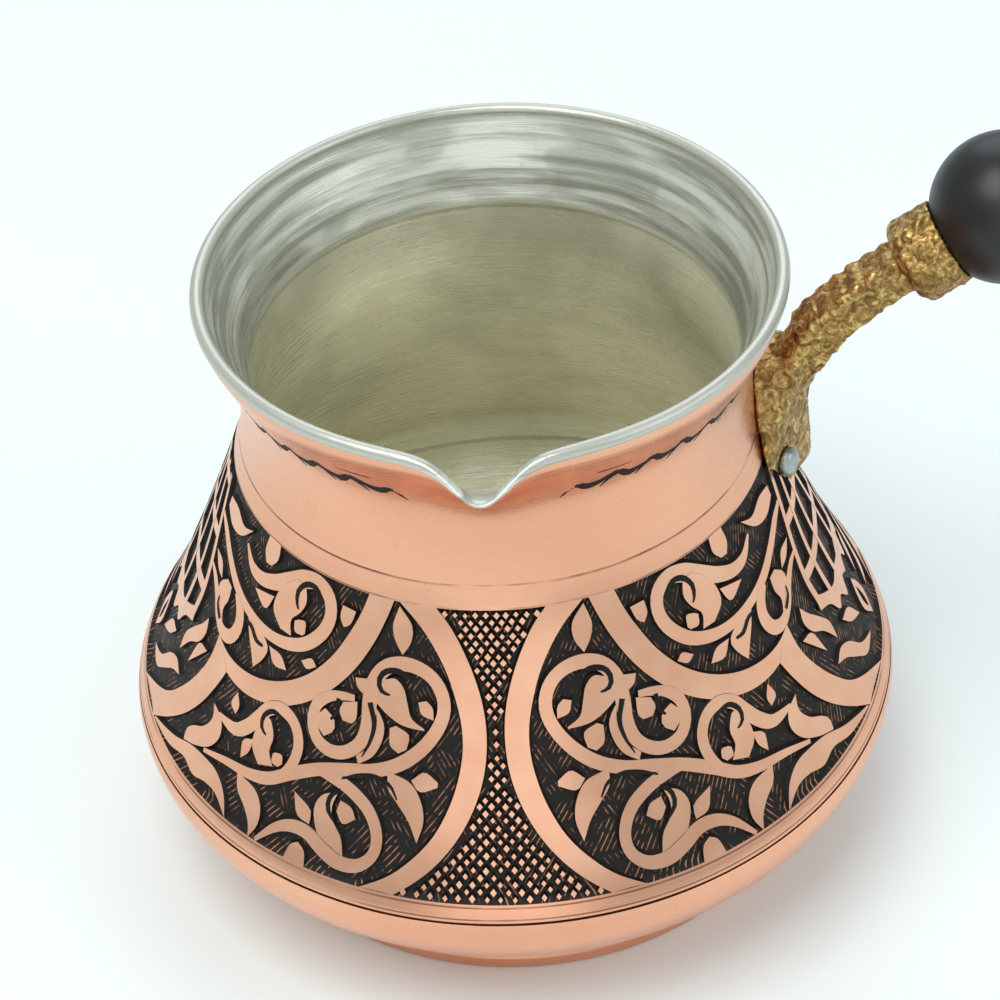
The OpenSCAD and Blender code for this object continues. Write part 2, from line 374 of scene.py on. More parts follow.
@dataclass(frozen=True)
class BlackenedGround(Finish):
    """The cut-away ground: blackened, with the short parallel strokes of the graver."""

    name: str = "blackened_ground"
    black: str = "#0E0A09"
    grey: str = "#211A17"
    stroke: str = "#D09674"
    pitch: float = 0.612  # millimetres between strokes
    patches: float = 2.6  # patches of one direction of stroke, to the centimetre
    breaks: float = 9.0  # breaks along the strokes, to the centimetre
    specks: float = 30.0  # specks in the black, to the centimetre
    # slant of each set of strokes in radians, and the patch noise where it starts and is full
    sets: tuple[tuple[float, float, float], ...] = ((0.62, 0.50, 0.57), (-0.55, 0.44, 0.36))

    def dress(self, tree: bpy.types.NodeTree, shader: bpy.types.Node) -> None:
        """Strokes come from two slanted bands of waves in the piece's own UV, in centimetres.

        Args:
            tree: The material's node tree.
            shader: Its Principled shader.
        """
        unrolled = add(tree, "UVMap", uv_map="unrolled").outputs[0]
        patch, breaks, specks = (
            add(tree, "TexNoise", {"Vector": unrolled, "Scale": rate, "Detail": detail}).outputs[0]
            for rate, detail in ((self.patches, 1.0), (self.breaks, 2.0), (self.specks, 2.0)))
        parts = []
        for slant, start, full in self.sets:
            turned = add(tree, "Mapping", {"Vector": unrolled, "Rotation": (0, 0, slant)})
            # a wave texture of scale 1 repeats every pi / 10 units
            wave = add(tree, "TexWave", {"Vector": turned.outputs[0], "Scale": math.pi / self.pitch,
                                         "Distortion": 1.4, "Detail": 2.0, "Detail Scale": 0.6})
            line = ramp(tree, wave.outputs[1], [(0.84, "#000000"), (0.94, "#FFFFFF")])
            keep = add(tree, "MapRange", {0: patch, 1: start, 2: full, 3: 0.0, 4: 1.0})
            parts.append(maths(tree, "MULTIPLY", line, keep.outputs[0]))
        strokes = maths(tree, "MULTIPLY", maths(tree, "MAXIMUM", *parts),
                        ramp(tree, breaks, [(0.42, "#000000"), (0.56, "#FFFFFF")]))
        base = mix(tree, specks, linear(self.black), linear(self.grey))
        colour = mix(tree, maths(tree, "MULTIPLY", strokes, 0.75), base, linear(self.stroke))
        bump = add(tree, "Bump", {"Strength": 0.5, "Distance": 0.0001, "Height": strokes})
        tree.links.new(colour, shader.inputs["Base Color"])
        tree.links.new(bump.outputs[0], shader.inputs["Normal"])
        tree.links.new(maths(tree, "MULTIPLY", strokes, 0.8), shader.inputs["Metallic"])
        shader.inputs["Roughness"].default_value = 0.6
        shader.inputs["Specular IOR Level"].default_value = 0.25


@dataclass(frozen=True)
class WipedTin(Finish):
    """Tin, melted in and wiped round with a cloth: dull silver, yellowish, streaked round."""

    name: str = "wiped_tin"
    bright: str = "#DFE2D8"
    # the belly's tin, and the lit side of its patches of painted light and shade
    dull: str = "#FBF9E4"
    # colour of the wiping streaks, and the dark side of the belly's patches of painted light and shade
    streak_and_painted_shade: str = "#D2D0BA"
    lip: str = "#C2C3B9"
    # dark colour of the painted reflections above the neck
    painted_reflection_dark: str = "#8E9183"
    # colour of the pock scars, and of the painted shade under the inner ridges
    scar_and_painted_shade: str = "#5A584A"
    neck: float = 72.8  # height of the ridge above which the tin is bright
    lip_z: float = 83.0  # height where the lip starts
    ridge: float = 18.6  # height of the ridge near the floor
    # length in radians and width in millimetres of the wiping streaks, of the fine wiping marks, and of
    # the dark smears and broad bands of painted reflection above the neck
    streak: Point = (0.5, 0.5)
    fine: Point = (0.22, 0.16)
    painted_reflection_smear: Point = (0.7, 1.3)
    painted_reflection_band: Point = (0.5, 7.0)
    # sizes in millimetres of the belly's patches of painted light and shade, of a scar and of the
    # uneven coat's waves
    patch: float = 26.0
    pock: float = 1.6
    wave: float = 6.0

    def dress(self, tree: bpy.types.NodeTree, shader: bpy.types.Node) -> None:
        """Brighter above the neck, duller and yellower in the belly, with wiping streaks, and with
        painted light: broad patches of painted light and shade in the belly, dark smears and bands of
        painted reflection above the neck, and painted shade in thin lines under the inner ridges.

        Args:
            tree: The material's node tree.
            shader: Its Principled shader.
        """
        turned = Turned(tree)
        streaks = turned.brushed(*self.streak, 5)
        # broad patches of painted light and shade in the belly
        patches = cloudy(tree, turned.object, self.patch, 3)
        belly = mix(tree, ramp(tree, patches, [(0.40, "#000000"), (0.60, "#FFFFFF")]),
                    linear(self.streak_and_painted_shade), linear(self.dull))
        above = add(tree, "MapRange", {0: turned.height, 1: self.neck - 0.5, 2: self.neck + 0.5,
                                       3: 0.0, 4: 1.0})
        colour = mix(tree, above.outputs[0], belly, linear(self.bright))
        dark = ramp(tree, streaks, [(0.30, "#909090"), (0.48, "#000000")])
        colour = mix(tree, dark, colour, linear(self.streak_and_painted_shade))
        # painted reflections above the neck: dark smears, then broad dark bands, over the bright tin
        painted_reflection_blots = ramp(tree, turned.brushed(*self.painted_reflection_smear, 5), [(0.40, "#E8E8E8"), (0.57, "#000000")])
        colour = mix(tree, maths(tree, "MULTIPLY", painted_reflection_blots, above.outputs[0]), colour,
                     linear(self.painted_reflection_dark))
        painted_reflection_band = ramp(tree, turned.brushed(*self.painted_reflection_band, 2), [(0.47, "#A0A0A0"), (0.52, "#000000")])
        colour = mix(tree, maths(tree, "MULTIPLY", painted_reflection_band, above.outputs[0]), colour,
                     linear(self.painted_reflection_dark))
        lip = add(tree, "MapRange", {0: turned.height, 1: self.lip_z - 0.4, 2: self.lip_z + 0.4,
                                     3: 0.0, 4: 1.0})
        colour = mix(tree, lip.outputs[0], colour, linear(self.lip))
        scars = ramp(tree, cloudy(tree, turned.object, self.pock, 6, 0.7),
                     [(0.66, "#000000"), (0.73, "#B0B0B0")])
        colour = mix(tree, scars, colour, linear(self.scar_and_painted_shade))
        # painted shade: thin dark lines just under the neck ridge and the ridge near the floor
        edges = maths(tree, "MAXIMUM", turned.line(self.neck - 0.7, 0.3),
                      turned.line(self.ridge - 0.9, 0.35))
        colour = mix(tree, maths(tree, "MULTIPLY", edges, 0.3), colour, linear(self.scar_and_painted_shade))
        bump = add(tree, "Bump", {"Strength": 0.35, "Distance": 0.00012,
                                  "Height": turned.brushed(*self.fine, 4)})
        wavy = add(tree, "Bump", {"Strength": 0.4, "Distance": 0.0005,
                                  "Height": cloudy(tree, turned.object, self.wave, 3),
                                  "Normal": bump.outputs[0]})
        rough = add(tree, "MapRange", {0: streaks, 1: 0.3, 2: 0.7, 3: 0.2, 4: 0.42})
        tree.links.new(colour, shader.inputs["Base Color"])
        tree.links.new(rough.outputs[0], shader.inputs["Roughness"])
        tree.links.new(wavy.outputs[0], shader.inputs["Normal"])
        shader.inputs["Metallic"].default_value = 0.5


@dataclass(frozen=True)
class CastBrass(Finish):
    """Brass cast in sand and rubbed on a wheel: bright high spots, brown pits, dark worm marks."""

    name: str = "sand_cast_brass"
    hollow: str = "#4C381D"
    brown: str = "#8F7140"
    yellow: str = "#B89558"
    bright: str = "#F0D68C"
    stain: str = "#A27F50"
    soot: str = "#201407"
    # sizes in millimetres of a pit, a worm mark, a grain of sand and a broad stain
    pit: float = 1.25
    worm: float = 1.6
    sand: float = 0.35
    broad: float = 9.0

    def dress(self, tree: bpy.types.NodeTree, shader: bpy.types.Node) -> None:
        """Pits with brown bottoms and bright rims, with soot left in the narrow marks.

        Args:
            tree: The material's node tree.
            shader: Its Principled shader.
        """
        where = add(tree, "TexCoord").outputs["Object"]
        pits = add(tree, "TexNoise", {"Vector": where, "Scale": 1 / (self.pit * MM), "Detail": 4.0,
                                      "Roughness": 0.6, "Distortion": 1.1}).outputs[0]
        fine = cloudy(tree, where, self.sand, 3, 0.6)
        broad = cloudy(tree, where, self.broad, 3)
        colour = ramp(tree, pits, [(0.32, self.hollow), (0.44, self.brown), (0.54, self.yellow),
                                   (0.66, self.bright)])
        colour = mix(tree, maths(tree, "MULTIPLY", broad, 0.6), colour, linear(self.stain))
        worms = add(tree, "TexNoise", {"Vector": where, "Scale": 1 / (self.worm * MM),
                                       "Detail": 1.0, "Distortion": 2.2}).outputs[0]
        chased = ramp(tree, worms, [(0.47, "#000000"), (0.495, "#808080"), (0.505, "#808080"),
                                    (0.53, "#000000")])
        colour = mix(tree, chased, colour, linear(self.soot))
        bump = add(tree, "Bump", {"Strength": 0.6, "Distance": 0.00045, "Height": pits})
        grain = add(tree, "Bump", {"Strength": 0.35, "Distance": 0.0001, "Height": fine,
                                   "Normal": bump.outputs[0]})
        rough = add(tree, "MapRange", {0: pits, 1: 0.35, 2: 0.7, 3: 0.55, 4: 0.24})
        tree.links.new(colour, shader.inputs["Base Color"])
        tree.links.new(grain.outputs[0], shader.inputs["Normal"])
        tree.links.new(rough.outputs[0], shader.inputs["Roughness"])
        shader.inputs["Metallic"].default_value = 1.0


@dataclass(frozen=True)
class DullMetal(Finish):
    """A plain pale metal, rubbed in no one direction, such as set aluminium or zinc plating."""

    name: str = "set_aluminium"
    light: str = "#C4CCCB"
    dark: str = "#8F9896"
    rough: float = 0.42
    dent: float = 1.2  # size of a dent, in millimetres

    def dress(self, tree: bpy.types.NodeTree, shader: bpy.types.Node) -> None:
        """Small dents, darker at the bottom.

        Args:
            tree: The material's node tree.
            shader: Its Principled shader.
        """
        where = add(tree, "TexCoord").outputs["Object"]
        dents = cloudy(tree, where, self.dent, 4, 0.6)
        colour = mix(tree, dents, linear(self.dark), linear(self.light))
        bump = add(tree, "Bump", {"Strength": 0.5, "Distance": 0.0002, "Height": dents})
        tree.links.new(colour, shader.inputs["Base Color"])
        tree.links.new(bump.outputs[0], shader.inputs["Normal"])
        shader.inputs["Metallic"].default_value = 1.0
        shader.inputs["Roughness"].default_value = self.rough


@dataclass(frozen=True)
class LacqueredWood(Finish):
    """Turned beech under black lacquer: satin, with the grain just showing as relief."""

    name: str = "black_lacquered_beech"
    black: str = "#0C0C0E"
    rubbed: str = "#161619"
    axis_turn: float = -59.0  # degrees from the grip's own axis to the pot's
    fibres: tuple[float, float, float] = (900, 900, 60)  # fibres to the metre, across and along
    touched: float = 8.0  # size of a patch rubbed by the hand, in millimetres

    def dress(self, tree: bpy.types.NodeTree, shader: bpy.types.Node) -> None:
        """Grain drawn out along the grip, and patches that handling has rubbed.

        Args:
            tree: The material's node tree.
            shader: Its Principled shader.
        """
        where = add(tree, "TexCoord").outputs["Object"]
        laid = add(tree, "Mapping", {"Vector": where,
                                     "Rotation": (0, math.radians(self.axis_turn), 0)})
        drawn = add(tree, "Mapping", {"Vector": laid.outputs[0], "Scale": self.fibres})
        grain = add(tree, "TexNoise", {"Vector": drawn.outputs[0], "Scale": 1.0, "Detail": 4.0})
        handled = cloudy(tree, where, self.touched, 3)
        colour = mix(tree, handled, linear(self.black), linear(self.rubbed))
        bump = add(tree, "Bump", {"Strength": 0.12, "Distance": 0.0001, "Height": grain.outputs[0]})
        rough = add(tree, "MapRange", {0: handled, 1: 0.3, 2: 0.7, 3: 0.36, 4: 0.46})
        tree.links.new(colour, shader.inputs["Base Color"])
        tree.links.new(bump.outputs[0], shader.inputs["Normal"])
        tree.links.new(rough.outputs[0], shader.inputs["Roughness"])
        shader.inputs["IOR"].default_value = 1.5
        shader.inputs["Coat Weight"].default_value = 0.05
        shader.inputs["Coat Roughness"].default_value = 0.25


# ---------------------------------------------------------------------------------------------
# Mesh helpers
# ---------------------------------------------------------------------------------------------


def bezier(points: tuple[Point, Point, Point, Point], steps: int) -> list[Point]:
    """Points along a cubic curve.

    Args:
        points: Its first end, two handles and last end.
        steps: How many points to return.

    Returns:
        The points, the last end included and the first left out.
    """
    out = []
    for i in range(1, steps + 1):
        t = i / steps
        weights = ((1 - t) ** 3, 3 * (1 - t) ** 2 * t, 3 * (1 - t) * t * t, t**3)
        out.append(tuple(sum(w * p[k] for w, p in zip(weights, points)) for k in (0, 1)))
    return out


def arc(centre: Point, radius: float, start: float, stop: float, steps: int) -> list[Point]:
    """Points along a circular arc.

    Args:
        centre: Its centre.
        radius: Its radius.
        start: Angle of the first point, in degrees.
        stop: Angle of the last point, in degrees.
        steps: Straight pieces that it is divided into.

    Returns:
        The points, both ends included.
    """
    turns = [math.radians(start + (stop - start) * k / steps) for k in range(steps + 1)]
    return [(centre[0] + radius * math.cos(t), centre[1] + radius * math.sin(t)) for t in turns]


def smooth_path(points: tuple[Point, ...], count: int) -> list[Vector]:
    """A smooth line through points, evenly spaced along its length.

    Args:
        points: The points that it passes through.
        count: How many points to return.

    Returns:
        The points of the line, first and last included.
    """
    knots = [Vector(p) for p in points]
    if len(knots) == 2:
        return [knots[0].lerp(knots[1], i / (count - 1)) for i in range(count)]
    ends = [2 * knots[0] - knots[1], *knots, 2 * knots[-1] - knots[-2]]
    dense, parts = [], 8
    for i in range(1, len(ends) - 2):
        a, b, c, d = ends[i - 1 : i + 3]
        for k in range(parts):
            t = k / parts
            dense.append(0.5 * (2 * b + (c - a) * t + (2 * a - 5 * b + 4 * c - d) * t * t
                                + (3 * b - a - 3 * c + d) * t**3))
    dense.append(knots[-1])
    lengths = [0.0]
    for a, b in zip(dense, dense[1:]):
        lengths.append(lengths[-1] + (b - a).length)
    out, k = [], 0
    for i in range(count):
        want = lengths[-1] * i / (count - 1)
        while k < len(dense) - 2 and lengths[k + 1] < want:
            k += 1
        span = max(lengths[k + 1] - lengths[k], 1e-9)
        out.append(dense[k].lerp(dense[k + 1], min(1.0, (want - lengths[k]) / span)))
    return out


def finish_mesh(
    bm: bmesh.types.BMesh,
    name: str,
    finishes: list[Finish],
    nodes: tuple[str, ...] = (),
    sharp: float = 38.0,
) -> bpy.types.Object:
    """Turn a bmesh into a piece that rides on the root body.

    Args:
        bm: The mesh, in metres and in place; it is freed.
        name: The piece's name.
        finishes: Its finishes, in the order of the faces' material indices.
        nodes: CAD nodes that it stands for.
        sharp: Edges that turn by more than this many degrees stay crisp.

    Returns:
        The new object.
    """
    limit = math.radians(sharp)
    for face in bm.faces:
        face.smooth = True
    for edge in bm.edges:
        if len(edge.link_faces) == 2 and edge.calc_face_angle(0.0) > limit:
            edge.smooth = False
    mesh = bpy.data.meshes.new(name)
    bm.to_mesh(mesh)
    bm.free()
    for finish in finishes:
        mesh.materials.append(finish.build())
    piece = bpy.data.objects.new(name, mesh)
    bpy.context.scene.collection.objects.link(piece)
    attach(piece, "root")
    if nodes:
        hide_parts(*nodes)
    log.info("%s: %d faces", name, len(mesh.polygons))
    return piece


def spin_profile(profile: list[Point], steps: int) -> bmesh.types.BMesh:
    """Spin an open profile about the Z axis, closing the seam and the poles.

    Args:
        profile: Radius and height of each point, in millimetres.
        steps: Facets round the axis.

    Returns:
        A closed mesh in metres.
    """
    bm = bmesh.new()
    verts = [bm.verts.new((r * MM, 0, z * MM)) for r, z in profile]
    edges = [bm.edges.new(pair) for pair in zip(verts, verts[1:])]
    bmesh.ops.spin(bm, geom=verts + edges, cent=(0, 0, 0), axis=(0, 0, 1), dvec=(0, 0, 0),
                   angle=2 * math.pi, steps=steps, use_merge=True, use_duplicate=False)
    bmesh.ops.remove_doubles(bm, verts=bm.verts, dist=1e-7)
    bmesh.ops.recalc_face_normals(bm, faces=bm.faces)
    return bm


# ---------------------------------------------------------------------------------------------
# The pot
# ---------------------------------------------------------------------------------------------


@dataclass
class Spout:
    """The pinched spout: how the rim is drawn out, down and together, in millimetres."""

    turn: float = -97.0  # azimuth, in degrees
    half: float = 6.8  # half its angle at the rim, in degrees
    out: float = 3.2
    drop: float = 3.3
    out_fade: float = 13.0  # depth below the rim at which the drawing out ends
    drop_fade: float = 9.0  # the same for the drawing down
    skirt: float = 2.1  # half angle of the soft swelling round it, as a multiple of its own
    skirt_out: float = 0.5
    skirt_drop: float = 0.6
    pinch: float = 0.16  # share by which its sides are drawn together
    reach: float = 40.0  # nothing further off than this many degrees moves

    def draw(self, bm: bmesh.types.BMesh, rim: float) -> None:
        """Draw the rim into the spout, by moving the vertices near it.

        Args:
            bm: A spun mesh, in metres.
            rim: Height of the rim, in millimetres.
        """
        for vert in bm.verts:
            depth, radius = rim - vert.co.z / MM, vert.co.xy.length
            azimuth = math.degrees(math.atan2(vert.co.y, vert.co.x))
            off = (azimuth - self.turn + 180) % 360 - 180
            if depth > self.out_fade or abs(off) > self.reach or radius < MM:
                continue
            fade = (1 - depth / self.out_fade) ** 1.6
            fall = max(0.0, 1 - depth / self.drop_fade) ** 1.2
            bell = math.exp(-abs(off / self.half) ** 2.1)
            skirt = math.exp(-((off / (self.skirt * self.half)) ** 2))
            out = (self.out * bell + self.skirt_out * skirt) * fade
            drop = (self.drop * bell + self.skirt_drop * skirt) * fall
            pinch = self.pinch * off * math.exp(-((off / self.half) ** 2)) * fade
            heading = math.radians(azimuth - pinch)
            length = radius + out * MM
            vert.co = (length * math.cos(heading), length * math.sin(heading),
                       vert.co.z - drop * MM)


@dataclass
class PotShape:
    """Sizes of the pot, in millimetres, and the outline that they give."""

    height: float = 84.4
    rim_r: float = 36.0
    neck_r: float = 31.9
    neck_drop: float = 15.9
    belly_r: float = 50.6
    belly_z: float = 20.5
    crown_in: float = 2.7  # the crown is where the belly's round meets the straight shoulder
    crown_up: float = 6.0
    shoulder_out: float = 2.2  # top of the straight shoulder, from the neck's narrowest place
    shoulder_down: float = 11.0
    base_r: float = 38.4
    ring_h: float = 2.4
    ring_in: float = 0.5
    base_edge: float = 0.8
    wall: float = 1.4
    floor: float = 1.6
    floor_corner: float = 2.0  # size of the corner between the inner wall and the floor
    tin: float = 0.3
    band_low: float = 24.5
    band_high: float = 58.85
    band_depth: float = 0.5
    spout: Spout = field(default_factory=Spout)
    outline: list[Point] = field(init=False)

    def __post_init__(self) -> None:
        """Work the outline out from base to lip, as the CAD model does."""
        top, neck_z = self.height, self.height - self.neck_drop
        crown = Vector((self.belly_r - self.crown_in, self.belly_z + self.crown_up))
        shoulder = Vector((self.neck_r + self.shoulder_out, neck_z - self.shoulder_down))
        foot = (self.base_r - self.ring_in, self.ring_h)
        low = (foot,
               (self.base_r + 0.33 * (self.belly_r - self.base_r),
                self.ring_h + 0.34 * (self.belly_z - self.ring_h)),
               (self.belly_r - 0.3, 0.66 * self.belly_z), (self.belly_r, self.belly_z))
        turn = ((self.belly_r, self.belly_z), (self.belly_r, self.belly_z + 2.4),
                crown + Vector((1.1, -2.1)), crown)
        side = shoulder - crown
        cone = (crown, crown + 0.3 * side + Vector((-0.9, -0.4)),
                crown + 0.7 * side + Vector((-0.5, -0.3)), shoulder)
        neck = (shoulder, shoulder + Vector((-1.3, 3.4)), (self.neck_r, neck_z - 4.5),
                (self.neck_r, neck_z))
        flare = ((self.neck_r, neck_z), (self.neck_r, neck_z + 0.5 * self.neck_drop),
                 (self.rim_r - 1.3, top - 0.4 * self.neck_drop),
                 (self.rim_r - 0.1, top - 1.6 * self.wall))
        edge = self.base_edge
        self.outline = [(self.base_r - edge, 0.0), (self.base_r - 0.25 * edge, 0.25 * edge),
                        (self.base_r, edge), (self.base_r, self.ring_h - self.ring_in), foot]
        self.outline += bezier(low, 26) + bezier(turn, 14) + bezier(cone, 40)
        self.outline += bezier(neck, 22) + bezier(flare, 22)

    def radius(self, z: float) -> float:
        """Outside radius of the pot before the spout is drawn out.

        Args:
            z: Height, in millimetres.

        Returns:
            The radius, in millimetres.
        """
        points = self.outline
        for (r0, z0), (r1, z1) in zip(points, points[1:]):
            if z0 <= z <= z1 and z1 > z0:
                return r0 + (r1 - r0) * (z - z0) / (z1 - z0)
        return points[-1][0]

    def inset(self, depth: float) -> list[Point]:
        """The outline moved inwards, from above the floor up to the lip.

        Args:
            depth: How far in, in millimetres.

        Returns:
            Radius and height of each point, in millimetres.
        """
        out = []
        last = len(self.outline) - 1
        for i in range(5, last + 1):  # the first five points belong to the base ring
            before, after = self.outline[i - 1], self.outline[min(i + 1, last)]
            along = Vector((after[0] - before[0], after[1] - before[1])).normalized()
            point = (self.outline[i][0] - depth * along[1], self.outline[i][1] + depth * along[0])
            if point[1] > self.floor + self.floor_corner:
                out.append(point)
        return out


@dataclass
class CopperPot:
    """The copper shell, with the engraved band sunk into its side."""

    shape: PotShape
    steps: int = 360
    ledge: float = 0.04  # height of the crisp edge over and under the band
    cove: Point = (0.2, 0.15)  # height of the slope at the band's foot and at its top
    clear: float = 0.3  # how far the outline's own points stay from those slopes
    lip_in: float = 0.02  # how far the copper's lip stays back under the tin's
    # height, half width and depth of each scribed groove
    groove: tuple[tuple[float, float, float], ...] = ((61.95, 0.16, 0.06), (22.2, 0.2, 0.16))

    def profile(self) -> list[Point]:
        """The shell's section.

        Returns:
            Base, outside with the band sunk in, lip and inside, in millimetres.
        """
        shape, ledge = self.shape, self.ledge
        low, high, sunk = shape.band_low, shape.band_high, shape.band_depth
        heights = [z for _, z in shape.outline if not low < z < high]
        for middle, half, _ in self.groove:
            heights += [middle - half, middle, middle + half]
        below = sorted(z for z in heights if shape.ring_h < z < low)
        over = sorted(z for z in heights if z > high + 2 * ledge)
        out: list[Point] = [(0.0, 0.0), *shape.outline[:5]]
        out += [(shape.radius(z) - self.cut(z), z) for z in below]
        out += [(shape.radius(low - ledge), low - ledge),
                (shape.radius(low) - sunk, low + self.cove[0])]
        out += [(r - sunk, z) for r, z in shape.outline if low + self.clear < z < high - self.clear]
        out += [(shape.radius(high) - sunk, high - self.cove[1]),
                (shape.radius(high + ledge), high + ledge)]
        out += [(shape.radius(z) - self.cut(z), z) for z in over]
        lip_r = shape.wall / 2
        out += arc((shape.rim_r - lip_r - self.lip_in, shape.height - lip_r), lip_r, 10, 90, 5)
        inner = shape.inset(shape.wall)
        out += [p for p in reversed(inner) if p[1] < shape.height - lip_r]
        out += [(inner[0][0] - shape.floor_corner, shape.floor), (0.0, shape.floor)]
        return out

    def cut(self, z: float) -> float:
        """Depth of the scribed grooves at a height."""
        return sum(deep for middle, half, deep in self.groove if abs(z - middle) < 0.5 * half)

    def build(self) -> bpy.types.Object:
        """Spin the section, draw the spout and dress the band's ground.

        Returns:
            The shell, with a UV map that unrolls it, in centimetres at the band's mean radius.
        """
        shape = self.shape
        mean_r = 4.2  # centimetres
        bm = spin_profile(self.profile(), self.steps)
        layer = bm.loops.layers.uv.new("unrolled")
        low, high = shape.band_low * MM, shape.band_high * MM
        for face in bm.faces:
            centre = face.calc_center_median()
            outside = centre.xy.length > (shape.radius(centre.z / MM) - 0.9) * MM
            if outside and low < centre.z < high:
                face.material_index = 1
            first = math.atan2(centre.y, centre.x)
            for loop in face.loops:
                turn = math.atan2(loop.vert.co.y, loop.vert.co.x)
                if turn - first > math.pi:
                    turn -= 2 * math.pi
                elif first - turn > math.pi:
                    turn += 2 * math.pi
                loop[layer].uv = (turn * mean_r, loop.vert.co.z / MM / 10)
        shape.spout.draw(bm, shape.height)
        return finish_mesh(bm, "copper_shell", [SpunCopper(), BlackenedGround()],
                           ("pot_body",), 30.0)


@dataclass
class TinCoat:
    """The tin over the inside, the lip's top and the inside of the spout."""

    shape: PotShape
    steps: int = 360
    bead: float = 0.84  # radius of the rolled lip
    bead_in: float = 0.5  # its centre, inwards from the rim's edge
    bead_down: float = 0.8  # and down from the rim's top
    wrap: Point = (-35.0, 199.0)  # first and last angle of the tin on the bead, in degrees
    tuck: float = 0.5  # how far under the bead's centre the wall's own points stop
    play: float = 0.02  # keeps the coat's back off the copper's own surface
    ridges: tuple[Point, ...] = ((72.8, 0.35), (18.6, 0.4))  # height and how far each stands in
    ridge_w: float = 0.8

    def build(self) -> bpy.types.Object:
        """Spin the coat as a closed shell and draw the spout in it.

        Returns:
            The coat.
        """
        shape = self.shape
        wall, tin, floor = shape.wall, shape.tin, shape.floor
        centre = (shape.rim_r - self.bead_in, shape.height - self.bead_down)
        top = arc(centre, self.bead, *self.wrap, 12)
        under = arc(centre, self.bead - tin, *self.wrap, 12)
        below = centre[1] - self.tuck
        inner = [(r - self.ridge(z), z) for r, z in shape.inset(wall + tin) if z < below]
        outer = [p for p in reversed(shape.inset(wall - self.play)) if p[1] < below]
        back = floor + self.play
        section = [(0.0, floor + tin), (inner[0][0] - shape.floor_corner, floor + tin), *inner,
                   *reversed(top), *under, *outer, (outer[-1][0] - shape.floor_corner, back),
                   (0.0, back)]
        bm = spin_profile(section, self.steps)
        shape.spout.draw(bm, shape.height)
        return finish_mesh(bm, "tin_coat", [WipedTin()], ("tin_lining",), 60.0)

    def ridge(self, z: float) -> float:
        """How far the spinning ridges stand into the pot at a height, in millimetres."""
        return sum(out * math.exp(-(((z - middle) / self.ridge_w) ** 2))
                   for middle, out in self.ridges)


# ---------------------------------------------------------------------------------------------
# The engraving
# ---------------------------------------------------------------------------------------------


def path_length(points: tuple[Point, ...], shape: PotShape) -> float:
    """Length of a path on the pot.

    Args:
        points: The path, in degrees and millimetres.
        shape: The pot that it lies on.

    Returns:
        Its length, in millimetres.
    """
    total = 0.0
    for a, b in zip(points, points[1:]):
        per_degree = math.radians(shape.radius((a[1] + b[1]) / 2))
        total += math.hypot((b[0] - a[0]) * per_degree, b[1] - a[1])
    return total


ROW = 0.55  # length of one row of a bar's faces, in millimetres


@dataclass(frozen=True)
class Strip:
    """A copper shape between two edges, each a smooth line through (degrees, height in mm)."""

    left: tuple[Point, ...]
    right: tuple[Point, ...]

    def edges(self, shape: PotShape) -> tuple[list[Vector], list[Vector]]:
        """Both edges, evenly spaced.

        Args:
            shape: The pot, whose girth gives the number of rows.

        Returns:
            The left and the right edge, with as many points each.
        """
        span = max(path_length(self.left, shape), path_length(self.right, shape))
        rows = max(8, min(44, int(span / ROW)))
        return smooth_path(self.left, rows), smooth_path(self.right, rows)


@dataclass(frozen=True)
class Vine:
    """A copper line of varying width along a path, as a stem or a scroll."""

    path: tuple[Point, ...]
    widths: tuple[float, ...]  # millimetres, spread evenly along the path

    def edges(self, shape: PotShape) -> tuple[list[Vector], list[Vector]]:
        """Offset the path to both sides by half the local width.

        Args:
            shape: The pot, whose girth turns millimetres into degrees.

        Returns:
            The left and the right edge, with as many points each.
        """
        rows = max(8, min(110, int(path_length(self.path, shape) / ROW)))
        middle = smooth_path(self.path, rows)
        left, right = [], []
        for i, point in enumerate(middle):
            per_degree = math.radians(shape.radius(point.y))
            ahead = middle[min(i + 1, rows - 1)] - middle[max(i - 1, 0)]
            along = Vector((ahead.x * per_degree, ahead.y)).normalized()
            place = i / (rows - 1) * (len(self.widths) - 1)
            k = min(int(place), len(self.widths) - 2)
            half = (self.widths[k] + (self.widths[k + 1] - self.widths[k]) * (place - k)) / 2
            side = Vector((-along.y / per_degree, along.x)) * half
            left.append(point + side)
            right.append(point - side)
        return left, right


# One half of the panel, from the middle of the hourglass at 0 degrees to the middle of the
# pendant at 90; heights are above the base. The other half is its mirror.
BANDS: tuple[Strip, ...] = (
    # the plain C-shaped band beside the hourglass
    Strip(((11.3, 59.0), (8.2, 56.8), (5.6, 54), (3.6, 51), (2.2, 47.8), (1.6, 44.5), (1.8, 41),
           (2.7, 37.8), (4.4, 34.5), (6.8, 31.3), (9.8, 28.4), (13, 26.1), (16.2, 24.3)),
          ((19, 59.0), (14.5, 56.6), (11.2, 54), (8.6, 51), (6.9, 47.8), (5.9, 44.8), (5.8, 41.5),
           (6.7, 38), (8.2, 34.8), (10.4, 31.6), (13.4, 28.8), (17, 26.3), (21.5, 24.3))),
    # the scalloped band that hangs from the upper border
    Strip(((20, 59.0), (21.4, 56.5), (23.6, 53.2), (26.8, 49.5), (31, 46), (36, 43), (41.5, 40.8),
           (48, 39.4), (53, 39.1), (57.2, 39.4)),
          ((25.6, 59.0), (27, 56.3), (29, 53.5), (32, 50), (36, 46.8), (41, 44.2), (47, 42.3),
           (53, 41.4), (58, 41.4), (62, 42.1))),
    # the frame of the pendant, from the cusp down to the lower border
    Strip(((56.4, 39.4), (58, 36.5), (60.4, 33), (63.8, 29.6), (68, 26.6), (72, 24.3)),
          ((61.9, 42.2), (62.4, 38.5), (64.4, 35), (67.6, 31.4), (72, 28.1), (82, 24.3))),
)

